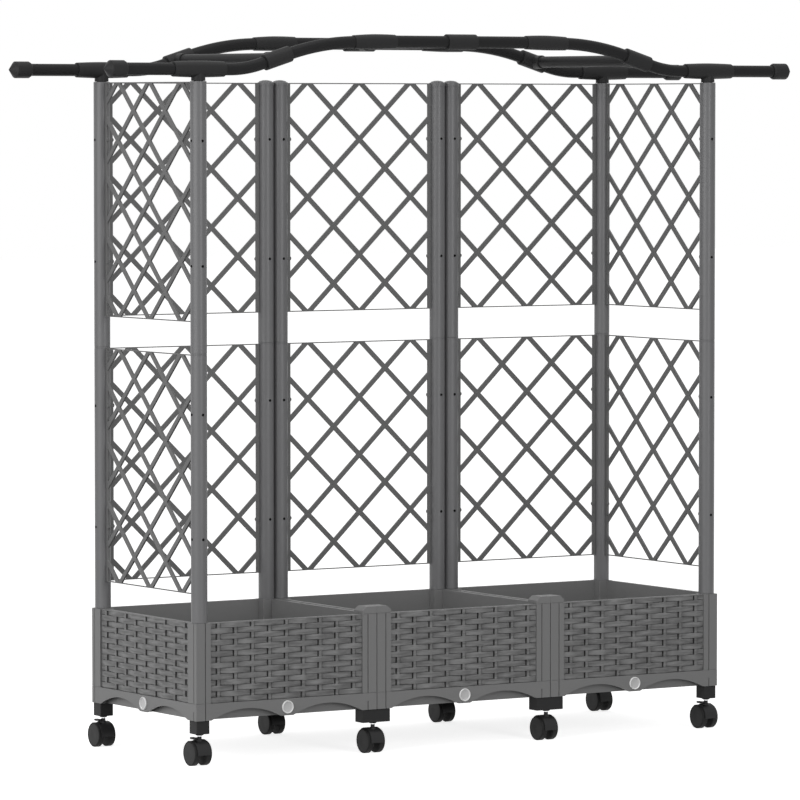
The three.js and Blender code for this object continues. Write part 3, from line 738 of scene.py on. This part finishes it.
TREAD_RADIUS = 23.5 * MM
HOOD_RADIUS = 25.8 * MM
HOOD_HALF = 14 * MM
WEB_HALF = 4.5 * MM
HOOD_FRONT = -math.asin(2.5 * MM / HOOD_RADIUS)
HOOD_BACK = math.pi - math.asin(10 * MM / HOOD_RADIUS)
WEB_START = math.radians(32)
BRAKE_WINDOW = (math.radians(57), math.radians(118))
PIVOT_INSET = 2.5 * MM


class PLANTER_OT_feet(bpy.types.Operator):
    """Builds the foot blocks under the columns"""

    bl_idname = "planter.feet"
    bl_label = "Foot blocks"

    def execute(self, context):
        black = finish_of("block_plastic", black_plastic, (0.024, 0.024, 0.0245), 0.5, 0.14, 800.0)
        for stand in STANDS:
            node = f"foot_block_{stand}"
            low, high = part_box(node)
            centre = middle_of(node)
            body = softened(block((low.x, low.y, low.z + 3 * MM), high), 1.2 * MM, 3)
            boss = lathe(in_mm([(0, 0), (5.5, 0), (7.3, 0.9), (8.5, 3), (8.5, 5), (0, 5)]), segments=40)
            moved(boss, centre.x, centre.y, low.z)
            piece(f"foot_{stand}", "planter", [(joined(body, boss), black)], [node])
        return {"FINISHED"}


def hood_shell(x0, x1, start, end):
    """Part of the curved cover between two angles about the axle, measured from -Y over the top."""
    inside = TREAD_RADIUS + 0.6 * MM
    form = bmesh.new()
    corners = [(x0, inside), (x1, inside), (x1, HOOD_RADIUS), (x0, HOOD_RADIUS)]
    verts = [form.verts.new((x, -r * math.cos(start), r * math.sin(start))) for x, r in corners]
    edges = [form.edges.new((verts[i], verts[(i + 1) % 4])) for i in range(4)]
    steps = max(4, round((end - start) / math.radians(6)))
    spun(form, edges, (-1, 0, 0), end - start, steps)
    return softened(form, 0.45 * MM, 2, math.radians(50))


def stand_has_brake(stand):
    return f"brake_lever_{stand}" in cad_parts


class PLANTER_OT_casters(bpy.types.Operator):
    """Builds the hoods with their steel stems, the wheel pairs and the brake levers"""

    bl_idname = "planter.casters"
    bl_label = "Casters"

    def execute(self, context):
        sizes = context.scene.planter_casters
        for stand in STANDS:
            axle = middle_of(f"caster_wheels_{stand}")
            at_axle = Matrix.Translation((axle.x, axle.y, TREAD_RADIUS))
            self.wheels(stand, sizes, at_axle)
            self.hood(stand, sizes, at_axle)
            if stand_has_brake(stand):
                self.lever(stand, sizes)
        return {"FINISHED"}

    def wheels(self, stand, sizes, at_axle):
        tread = finish_of("wheel_plastic", moulded_plastic, sizes.wheel_tint, 0.55, 600.0, 0.12, 0.0002, 0.14)
        disc_tint = shaded(sizes.wheel_tint, 1.1)
        disc = finish_of("disc_plastic", black_plastic, disc_tint, 0.45, 0.16, 900.0, 0.06)
        low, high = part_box(f"caster_wheels_{stand}")
        outer = (high.x - low.x) / 2
        inner = outer - sizes.wheel_width
        rounding = sizes.wheel_rounding
        edge = TREAD_RADIUS - rounding - 0.6 * MM
        wheel = in_mm([(0, 0), (3.2, 0)], 0, inner) + in_mm([(-1.2, 0), (0, 1.2)], TREAD_RADIUS, inner)
        for step in range(5, -1, -1):
            angle = step * math.pi / 10
            sunk, drawn_in = rounding * (1 - math.sin(angle)), rounding * (1 - math.cos(angle))
            wheel.append((TREAD_RADIUS - sunk, outer - drawn_in))
        wheel += in_mm([(0, -0.9), (-0.2, -0.9), (-0.2, -2.2)], edge, outer) + in_mm([(0, -2.2)], 0, outer)
        face = in_mm([(0, -2.6)], 0, outer) + in_mm([(0, -2.6), (0, -1.6), (-0.3, -0.5)], edge, outer)
        face += in_mm([(15, -0.2), (5, -0.5), (0, -0.5)], 0, outer)
        wheels = [placed(mirrored(lathe(wheel, "X", 64), side), at_axle) for side in (-1, 1)]
        faces = [placed(mirrored(lathe(face, "X", 64), side), at_axle) for side in (-1, 1)]
        wheels.append(placed(round_bar(3 * MM, -inner - 1 * MM, inner + 1 * MM, "X", 24), at_axle))
        parts = [(joined(*wheels), tread), (joined(*faces), disc)]
        piece(f"twin_wheels_{stand}", f"wheels_{stand}", parts, [f"caster_wheels_{stand}"])

    def hood(self, stand, sizes, at_axle):
        cover = finish_of("hood_plastic", black_plastic, sizes.hood_tint, 0.45, 0.18)
        # painted shade: the web and hub between the wheels are painted a quarter of the hood's black, for the
        # shade deep inside the hood
        shade = finish_of("hood_core_plastic", black_plastic, shaded(sizes.hood_tint, 0.25), 0.6, 0.06)
        steel = finish_of("stem_steel", plated_steel, (0.82, 0.82, 0.83))
        if stand_has_brake(stand):
            side, (window_start, window_end) = 0.5 * MM - WEB_HALF, BRAKE_WINDOW
            spans = [
                (-WEB_HALF, HOOD_HALF, HOOD_FRONT, HOOD_BACK),
                (-HOOD_HALF, side, HOOD_FRONT, window_start),
                (-HOOD_HALF, side, window_end, HOOD_BACK),
            ]
        else:
            spans = [(-HOOD_HALF, HOOD_HALF, HOOD_FRONT, HOOD_BACK)]
        shells = [placed(hood_shell(*span), at_axle) for span in spans]

        blade, steps, reach = [], 24, HOOD_RADIUS - 1 * MM
        for step in range(steps + 1):
            angle = WEB_START + (HOOD_BACK - WEB_START) * step / steps
            blade.append((-reach * math.cos(angle), reach * math.sin(angle)))
        hub = round_bar(6 * MM, -WEB_HALF, WEB_HALF, "X", 32, 0.5 * MM)
        # the web and hub take the painted-shade black
        core = placed(joined(prism(blade, -WEB_HALF, WEB_HALF, "X", 0.4 * MM), hub), at_axle)

        stem = middle_of(f"foot_block_{stand}")
        crown = TREAD_RADIUS + HOOD_RADIUS
        collar = [(0, -3), (5.4, -3), (5.4, -0.2), (4.5, 0.7), (4.1, 1.6), (4.0, 6.2), (3.7, 6.5), (0, 6.5)]
        shells.append(moved(lathe(in_mm(collar), "Z", 32, 0.25 * MM), stem.x, stem.y, crown))
        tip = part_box(f"foot_block_{stand}")[0].z + 15 * MM
        rod = in_mm([(0, 2), (3.4, 2)], 0, crown) + in_mm([(3.4, -1), (2.8, 0), (0, 0)], 0, tip)
        rod = moved(lathe(rod, "Z", 40), stem.x, stem.y)
        if stand_has_brake(stand):
            low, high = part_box(f"brake_lever_{stand}")
            y, z = low.y + PIVOT_INSET, low.z + PIVOT_INSET
            shells.append(moved(round_bar(1.2 * MM, low.x, high.x + 2 * MM, "X", 20), 0, y, z))
            foot = (high.x + 0.3 * MM, y - 2.6 * MM, crown - 8 * MM)
            shells.append(block(foot, (high.x + 3 * MM, y + 2.6 * MM, z + 2.4 * MM), 0.5 * MM))
        parts = [(joined(*shells), cover), (core, shade), (rod, steel)]
        piece(f"hood_{stand}", f"caster_{stand}", parts, [f"caster_hood_{stand}"])

    def lever(self, stand, sizes):
        dark = finish_of("lever_plastic", black_plastic, shaded(sizes.hood_tint, 0.8), 0.5, 0.14)
        low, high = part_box(f"brake_lever_{stand}")
        y, z = low.y + PIVOT_INSET, low.z + PIVOT_INSET
        bore, rim = 1.4 * MM, 2.5 * MM
        ring = [(bore, low.x), (rim, low.x), (rim, high.x), (bore, high.x), (bore, low.x)]
        barrel = moved(lathe(ring, "X", 28), 0, y, z)
        pad = in_mm([(2, -0.8), (5, -2)], y, z) + in_mm([(-1, -2), (0, -1.2), (0, 0.8), (-1, 1.6)], high.y, z)
        pad += in_mm([(4, 1.7), (0.5, 2.45)], y, z)
        plate = prism(pad, low.x, high.x, "X", 0.35 * MM)
        parts = [(joined(barrel, plate), dark)]
        piece(f"brake_{stand}", f"lever_{stand}", parts, [f"brake_lever_{stand}"])


# ---------------------------------------------------------------- posts


POST_NODES = {
    "post_front_left": ("-X", "-Y"),
    "post_back_left": ("-X", "+Y"),
    "post_front_right": ("+X", "-Y"),
    "post_back_right": ("+X", "+Y"),
    "post_back_inner1": ("+X", "-Y"),
    "post_back_inner2": ("-X", "-Y"),
    "post_back_inner3": ("+X", "-Y"),
    "post_back_inner4": ("-X", "-Y"),
}
FACING = {"-Y": 0, "+X": 1, "+Y": 2, "-X": 3}
SCREW_HEIGHTS = tuple(height * MM for height in (427, 661, 939, 1173))
POST_SEAM = 773.4 * MM
POST_TOP = 1284.4 * MM
PEG_LENGTH = 29.7 * MM


def screw_head(radius):
    """A small domed screw head with a dimple, its face towards -Y at the origin."""
    rim = [(0, 0.15), (0.45, 0.15), (0.6, 0.45), (0.9, 0.35), (1.0, 0.05), (1.0, -1.0), (0, -1.0)]
    return lathe([(share * radius, -along * MM) for share, along in rim], "Y", 20)


def post_profile(low, high, sizes, has_tee):
    """The outline of a post: its peg, the two tubes with a groove between them, and a plain end or a cap."""
    radius, foot = sizes.radius, low + PEG_LENGTH
    profile = in_mm([(0, 0), (9, 0), (10, 1)], 0, low) + in_mm([(10, 0)], 0, foot)
    profile += in_mm([(-0.4, 0), (0, 0.4)], radius, foot)
    profile += in_mm([(0, -0.5), (-0.5, 0), (-0.5, 0.3), (-0.1, 0.5)], radius, POST_SEAM - sizes.seam / 2)
    profile += in_mm([(-0.1, -0.5), (-0.5, -0.3), (-0.5, 0), (0, 0.5)], radius, POST_SEAM + sizes.seam / 2)
    if has_tee:
        profile += in_mm([(0, -0.4), (-0.4, 0)], radius, POST_TOP)
        return profile + in_mm([(13, 0), (13, -2), (0, -2)], 0, POST_TOP)
    lip = [(0, -6), (0.8, -6), (0.8, -1), (0.3, 0), (-0.6, 0.3), (-1.2, 0.2), (-3.5, 2.4)]
    return profile + in_mm(lip, radius, POST_TOP) + in_mm([(6, -0.5), (0, 0)], 0, high)


class PLANTER_OT_posts(bpy.types.Operator):
    """Builds the posts, each of two tubes, with their screws and caps"""

    bl_idname = "planter.posts"
    bl_label = "Posts"

    def execute(self, context):
        sizes = context.scene.planter_posts
        satin = finish_of("post_plastic", drawn_plastic, sizes.tint, 0.37, (500.0, 500.0, 5.0), 0.42)
        black = finish_of("screw_plastic", black_plastic, grey(0.003), 0.6, 0.05, 900.0, 0.1)
        for node, faces in POST_NODES.items():
            low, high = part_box(node)
            centre = middle_of(node)
            profile = post_profile(low.z, high.z, sizes, "inner" not in node)
            tube = moved(lathe(profile, "Z", 64), centre.x, centre.y)
            screws = []
            for facing in faces:
                for height in SCREW_HEIGHTS:
                    screw = moved(screw_head(sizes.screw_radius), y=-sizes.radius)
                    screws.append(moved(turned_about_z(screw, FACING[facing]), centre.x, centre.y, height))
            parts = [(tube, satin), (joined(*screws), black)]
            piece(f"tube_{node}", "planter", parts, [node])
        return {"FINISHED"}


# ---------------------------------------------------------------- lattice panels


SMALLEST_OPENING = 60e-6  # square metres; a smaller one is left filled


def lattice(width, height, thickness, sizes):
    """A panel of crossed strips in one plane, standing on z = 0 across the middle of the XZ plane."""
    form = bmesh.new()
    bmesh.ops.create_grid(form, x_segments=1, y_segments=1, size=0.5)
    bmesh.ops.scale(form, vec=(width, height, 1), verts=form.verts)
    moved(form, y=height / 2)
    half_x, half_z = sizes.strip_pitch / 2, sizes.diamond_height / 2
    slope = math.atan2(half_z, half_x)
    share = sizes.strip_width / (sizes.strip_pitch * math.sin(slope))
    inner = width / 2 - sizes.side_bar
    for x in (-inner, inner):
        cut(form, (x, 0, 0), (1, 0, 0), CUT_REACH)
    for z in (sizes.end_bar, height - sizes.end_bar):
        cut(form, (0, z, 0), (0, 1, 0), CUT_REACH)
    reach = math.ceil((width / 2 / half_x + height / 2 / half_z) / 2) + 1
    for lean in (-1, 1):
        for line in range(-reach, reach + 1):
            for edge in (-share, share):
                place = ((2 * line + edge) * half_x, height / 2, 0)
                cut(form, place, (1 / half_x, lean / half_z, 0), CUT_REACH)

    def is_open(face):
        spot = face.calc_center_median()
        across, up = spot.x / half_x, (spot.y - height / 2) / half_z
        in_bars = abs(spot.x) > inner or not sizes.end_bar < spot.y < height - sizes.end_bar
        between = all(share < (across + lean * up) % 2 < 2 - share for lean in (-1, 1))
        return between and not in_bars and face.calc_area() > SMALLEST_OPENING

    bmesh.ops.delete(form, geom=[face for face in form.faces if is_open(face)], context="FACES")
    raise_faces(form, form.faces[:], thickness)
    placed(moved(form, z=-thickness / 2), STANDING["Y"])
    bmesh.ops.recalc_face_normals(form, faces=form.faces)
    return softened(form, 0.35 * MM, 1, math.radians(50))


def screw_boss(thickness):
    """The rounded boss in a side bar that a screw bites into."""
    half = thickness / 2 + 0.5 * MM
    return round_bar(4.4 * MM, -half, half, "Y", 28, 0.5 * MM)


class PLANTER_OT_lattices(bpy.types.Operator):
    """Builds the lattice panels along the back and at both ends"""

    bl_idname = "planter.lattices"
    bl_label = "Lattice panels"

    def execute(self, context):
        sizes = context.scene.planter_trellis
        # the lattice grey includes painted shade for plants that are not built
        matt = finish_of("lattice_plastic", moulded_plastic, sizes.tint, 0.48)
        for node in sorted(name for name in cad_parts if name.startswith("lattice_")):
            low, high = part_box(node)
            centre = middle_of(node)
            size = high - low
            is_side = "_side_" in node
            width, thickness = (size.y, size.x) if is_side else (size.x, size.y)
            forms = [lattice(width, size.z, thickness, sizes)]
            boss_x = width / 2 - 5.2 * MM
            for height in SCREW_HEIGHTS:
                if low.z < height < high.z:
                    forms += [moved(screw_boss(thickness), x, 0, height - low.z) for x in (-boss_x, boss_x)]
            panel = turned_about_z(joined(*forms), 1 if is_side else 0)
            at = (centre.x, centre.y, low.z)
            piece(f"panel_{node}", "planter", [(panel, matt)], [node], at)
        return {"FINISHED"}


# ---------------------------------------------------------------- hanging rails


ARCH_ANGLE = math.radians(17)
CROWN_ANGLE = math.radians(2)
BEND = 200 * MM
BENT_HALF = 50 * MM
CROWN_RUN = 135 * MM
SLEEVE_RUN = 66 * MM
FOOT_RUN = 68 * MM
TEE_HALF = 55 * MM


def curve_points(start, start_angle, end, end_angle):
    """Points along a smooth bend between two places whose directions are given as angles below the level."""
    reach = (end[0] - start[0]) / 2 / math.cos((start_angle + end_angle) / 2)
    control = Vector((start[0] + reach * math.cos(start_angle), start[1] - reach * math.sin(start_angle)))
    first, last = Vector(start), Vector(end)
    leaving, arriving = first.lerp(control, 2 / 3), last.lerp(control, 2 / 3)
    return [tuple(point) for point in interpolate_bezier(first, leaving, arriving, last, 14)]


def half_line(tip):
    """The centre line of half a rail as (x, z) points from the crown outwards, with the tees at z = 0."""
    arch_cos, arch_sin = math.cos(ARCH_ANGLE), math.sin(ARCH_ANGLE)
    crown_cos, crown_sin = math.cos(CROWN_ANGLE), math.sin(CROWN_ANGLE)
    crown_end = (BEND + BENT_HALF * crown_cos, -BENT_HALF * crown_sin)
    crown_drop = CROWN_RUN / (arch_sin - crown_sin) * (crown_cos - arch_cos)
    sleeve_start = (crown_end[0] + CROWN_RUN, crown_end[1] - crown_drop)
    sleeve_end = (sleeve_start[0] + SLEEVE_RUN * arch_cos, sleeve_start[1] - SLEEVE_RUN * arch_sin)
    foot_drop = FOOT_RUN / arch_sin * (1 - arch_cos)
    foot_end = (sleeve_end[0] + FOOT_RUN, sleeve_end[1] - foot_drop)
    points = [(0, 0)]
    points += curve_points((BEND - BENT_HALF, 0), 0, crown_end, CROWN_ANGLE)
    points += curve_points(crown_end, CROWN_ANGLE, sleeve_start, ARCH_ANGLE)[1:]
    points += curve_points(sleeve_end, ARCH_ANGLE, foot_end, 0)
    points.append((tip, foot_end[1]))
    return [(x, z - foot_end[1]) for x, z in points], sleeve_start[0], sleeve_end[0]


class RailLine:
    """The centre line of a rail, as height and slope over x."""

    def __init__(self, tip):
        half, *self.sleeve = half_line(tip)
        self.points = [(-x, z) for x, z in reversed(half[1:])] + half
        self.crown = half[0][1]

    def at(self, x):
        for (x0, z0), (x1, z1) in zip(self.points, self.points[1:]):
            if x0 <= x <= x1:
                return z0 + (z1 - z0) * (x - x0) / (x1 - x0), math.atan2(z1 - z0, x1 - x0)
        return self.points[-1][1], 0.0

    def slope(self, x):
        step = 4 * MM
        return math.atan2(self.at(x + step)[0] - self.at(x - step)[0], 2 * step)

    def run(self, stations):
        """A round run through (x, radius) stations of the line."""
        return swept([(x, self.at(x)[0], self.slope(x), radius) for x, radius in stations])

    def tube(self, radius):
        reach = self.points[-1][0] - 30 * MM
        places = sorted({-reach, reach, *(x for x, _ in self.points if abs(x) < reach)})
        return self.run([(x, radius) for x in places])


def sleeve_stations(x0, x1, tube, ends, middle, steps=12):
    """(x, radius) stations of a sleeve that swells from its ends to its middle, with rounded lips."""
    lip = 0.5 * MM
    stations = [(x0, tube - 1 * MM), (x0, ends - lip), (x0 + lip / 2, ends - lip / 4), (x0 + lip, ends)]
    for step in range(1, steps):
        share = step / steps
        x = x0 + lip + (x1 - x0 - 2 * lip) * share
        stations.append((x, ends + (middle - ends) * (1 - abs(2 * share - 1) ** 1.6)))
    stations += [(x1 - lip, ends), (x1 - lip / 2, ends - lip / 4), (x1, ends - lip), (x1, tube - 1 * MM)]
    return stations


def end_cap(tip):
    """The pointed cap on the end of a tube, towards +X."""
    inner = tip - 46 * MM
    profile = in_mm([(0, 1), (11.8, 0.4), (13.2, 0), (16, 4.5)], 0, inner)
    profile += in_mm([(16, -13.6), (15.8, -12.9), (14.6, -11.7), (1.6, -0.7), (0.9, -0.15), (0, 0)], 0, tip)
    return lathe(profile, "X", 48, 0.25 * MM)


def side_socket(sign_y):
    """The socket on a sleeve that takes a spacer bar, from the rail axis along Y."""
    rim = [(0, 0), (13.5, 0), (13.5, 28.6), (13.1, 29.6), (12.4, 30), (11.3, 30), (11.3, 24), (0, 24)]
    return mirrored(lathe(in_mm(rim), "Y", 44), 1, sign_y)


def tee_stem():
    """The stem of a tee, from the rail axis down into the post."""
    waist = [(0, 0), (13.6, 0), (13.4, -8), (13.3, -16), (13.5, -21.4), (13, -22)]
    return lathe(in_mm([*waist, (9.8, -22), (9.8, -24), (0, -24)]))


class PLANTER_OT_rails(bpy.types.Operator):
    """Builds the two arched hanging rails and the spacer bars between them"""

    bl_idname = "planter.rails"
    bl_label = "Hanging rails"

    def execute(self, context):
        sizes = context.scene.planter_rails
        self.rails(sizes)
        self.bars(sizes)
        return {"FINISHED"}

    def rails(self, sizes):
        stretch = (5.0, 500.0, 500.0)
        plain = finish_of("rail_tube_plastic", drawn_plastic, sizes.tube_tint, 0.45, stretch, 0.11)
        fitting = finish_of("rail_fitting_plastic", black_plastic, sizes.fitting_tint, 0.48, 0.14, 900.0, 0.07)
        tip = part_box("arch_rail_front")[1].x
        line = RailLine(tip)
        tube = sizes.tube_radius
        tee_x = middle_of("post_front_right").x
        sleeve_start, sleeve_end = line.sleeve
        sleeve_x = (sleeve_start + sleeve_end) / 2
        spans = [
            sleeve_stations(BEND - BENT_HALF, BEND + BENT_HALF - 7 * MM, tube, 13.2 * MM, 14.4 * MM),
            sleeve_stations(sleeve_start, sleeve_end - 8 * MM, tube, 15.5 * MM, 15.5 * MM, 4),
            sleeve_stations(tee_x - TEE_HALF, tee_x + TEE_HALF, tube, 14.3 * MM, 15.7 * MM),
        ]
        for row, towards_bars in (("front", 1), ("back", -1)):
            parts = [line.run(sleeve_stations(-33 * MM, 33 * MM, tube, 15 * MM, 15 * MM, 2))]
            for side in (-1, 1):
                for stations in spans:
                    if side < 0:
                        stations = [(-x, radius) for x, radius in reversed(stations)]
                    parts.append(line.run(stations))
                parts.append(mirrored(end_cap(tip), side))
                parts.append(moved(tee_stem(), side * tee_x))
                parts.append(moved(side_socket(towards_bars), side * sleeve_x, 0, line.at(sleeve_x)[0]))
            parts.append(moved(side_socket(towards_bars), 0, 0, line.crown))
            forms = [(line.tube(tube), plain), (joined(*parts), fitting)]
            at = (0, middle_of(f"post_{row}_left").y, POST_TOP + 22.5 * MM)
            piece(f"hanging_rail_{row}", "planter", forms, [f"arch_rail_{row}"], at)

    def bars(self, sizes):
        stretch = (500.0, 5.0, 500.0)
        across = finish_of("spacer_bar_plastic", drawn_plastic, sizes.tube_tint, 0.45, stretch, 0.11)
        for place in BOXES:
            node = f"cross_bar_{place}"
            low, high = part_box(node)
            reach = (high.y - low.y) / 2
            profile = in_mm([(0, 0), (10.4, 0), (11.2, 1)], 0, -reach)
            bar = lathe(profile + in_mm([(11.2, -1), (10.4, 0), (0, 0)], 0, reach), "Y", 40)
            piece(f"spacer_bar_{place}", "planter", [(bar, across)], [node], middle_of(node))


# ---------------------------------------------------------------- floor, light and camera


VIEWER = (-5.7496, -9.0268, 1.2350)
VIEW_HEADING = math.radians(-32.42)
VIEW_TILT = math.radians(90 - 3.059)
SENSOR_WIDTH = 36.0
LENS = 246.21
LIT_PLACE = (0, 0, 0.65)
FLOOR_HALF = 30.0


def linked(name, data):
    made = bpy.data.objects.new(name, data)
    bpy.context.scene.collection.objects.link(made)
    return made


def lamp(name, place, width, height, watts):
    """A rectangular lamp that faces the middle of the planter."""
    light = bpy.data.lights.new(name, "AREA")
    light.shape = "RECTANGLE"
    light.size = width
    light.size_y = height
    light.energy = watts
    made = linked(name, light)
    made.location = place
    made.rotation_euler = (Vector(LIT_PLACE) - Vector(place)).to_track_quat("-Z", "Y").to_euler()


class PLANTER_OT_studio(bpy.types.Operator):
    """Sets up the pale floor, the soft lamps and the camera"""

    bl_idname = "planter.studio"
    bl_label = "Studio"

    def execute(self, context):
        scene = context.scene
        studio = scene.planter_studio
        self.floor()
        self.backdrop(scene, studio.ambient)
        lamp("side_lamp", (-4.6, -1.2, 1.9), 4.0, 3.0, studio.side_lamp)
        lamp("front_lamp", (0.0, -4.6, 1.6), 0.8, 2.6, studio.front_lamp)
        lamp("top_lamp", (-0.4, -0.8, 4.2), 3.0, 2.0, studio.top_lamp)
        camera = bpy.data.cameras.new("camera")
        camera.sensor_width = SENSOR_WIDTH
        camera.lens = LENS
        camera.clip_end = 100.0
        viewer = linked("camera", camera)
        viewer.location = VIEWER
        viewer.rotation_euler = (VIEW_TILT, 0, VIEW_HEADING)
        scene.camera = viewer
        scene.view_settings.view_transform = "Standard"
        return {"FINISHED"}

    def floor(self):
        """White to the camera, and a dim grey to the light it would throw back at the planter."""
        form = bmesh.new()
        bmesh.ops.create_grid(form, x_segments=1, y_segments=1, size=FLOOR_HALF)
        mesh = bpy.data.meshes.new("studio_floor")
        form.to_mesh(mesh)
        form.free()
        linked("studio_floor", mesh)
        paper = Finish("floor_paper")
        seen = paper.seen()
        mottled = paper.blend(paper.noise(3.0), grey(0.90), grey(0.93))
        paper.set(
            Base_Color=paper.blend(seen, grey(0.16), mottled),
            Emission_Color=paper.blend(seen, grey(0.0), grey(0.80)),
            Emission_Strength=1.0,
            Roughness=0.9,
            Specular_IOR_Level=0.0,
        )
        mesh.materials.append(paper.material)

    def backdrop(self, scene, ambient):
        """White to the camera, and an even light of the ambient strength to the planter."""
        world = bpy.data.worlds.new("studio_world")
        scene.world = world
        world.use_nodes = True
        nodes = Nodes(world.node_tree)
        background = nodes.tree.nodes["Background"]
        background.inputs["Color"].default_value = (1.0, 1.0, 1.0, 1.0)
        feed(nodes.tree, background.inputs["Strength"], ambient + (1.0 - ambient) * nodes.seen())


# ---------------------------------------------------------------- sidebar and start


SETTINGS = {
    "planter_weave": WeaveSettings,
    "planter_casters": CasterSettings,
    "planter_trellis": TrellisSettings,
    "planter_posts": PostSettings,
    "planter_rails": RailSettings,
    "planter_studio": StudioSettings,
}
OPERATORS = (
    PLANTER_OT_woven_boxes,
    PLANTER_OT_trays,
    PLANTER_OT_feet,
    PLANTER_OT_casters,
    PLANTER_OT_posts,
    PLANTER_OT_lattices,
    PLANTER_OT_rails,
    PLANTER_OT_studio,
)


class PLANTER_PT_sidebar(bpy.types.Panel):
    """Lists the pieces of the planter and their sizes"""

    bl_label = "Planter with trellis"
    bl_idname = "PLANTER_PT_sidebar"
    bl_space_type = "VIEW_3D"
    bl_region_type = "UI"
    bl_category = "Planter"

    def draw(self, context):
        for operator in OPERATORS:
            self.layout.operator(operator.bl_idname)
        for attribute, group in SETTINGS.items():
            column = self.layout.column(heading=group.__name__)
            for name in group.__annotations__:
                column.prop(getattr(context.scene, attribute), name)


def register():
    for group in SETTINGS.values():
        bpy.utils.register_class(group)
    for attribute, group in SETTINGS.items():
        setattr(bpy.types.Scene, attribute, PointerProperty(type=group))
    for operator in OPERATORS:
        bpy.utils.register_class(operator)
    bpy.utils.register_class(PLANTER_PT_sidebar)


def unregister():
    bpy.utils.unregister_class(PLANTER_PT_sidebar)
    for operator in reversed(OPERATORS):
        bpy.utils.unregister_class(operator)
    for attribute in SETTINGS:
        delattr(bpy.types.Scene, attribute)
    for group in reversed(SETTINGS.values()):
        bpy.utils.unregister_class(group)


def main():
    register()
    for operator in OPERATORS:
        group, name = operator.bl_idname.split(".")
        getattr(getattr(bpy.ops, group), name)()


if __name__ == "__main__":
    main()
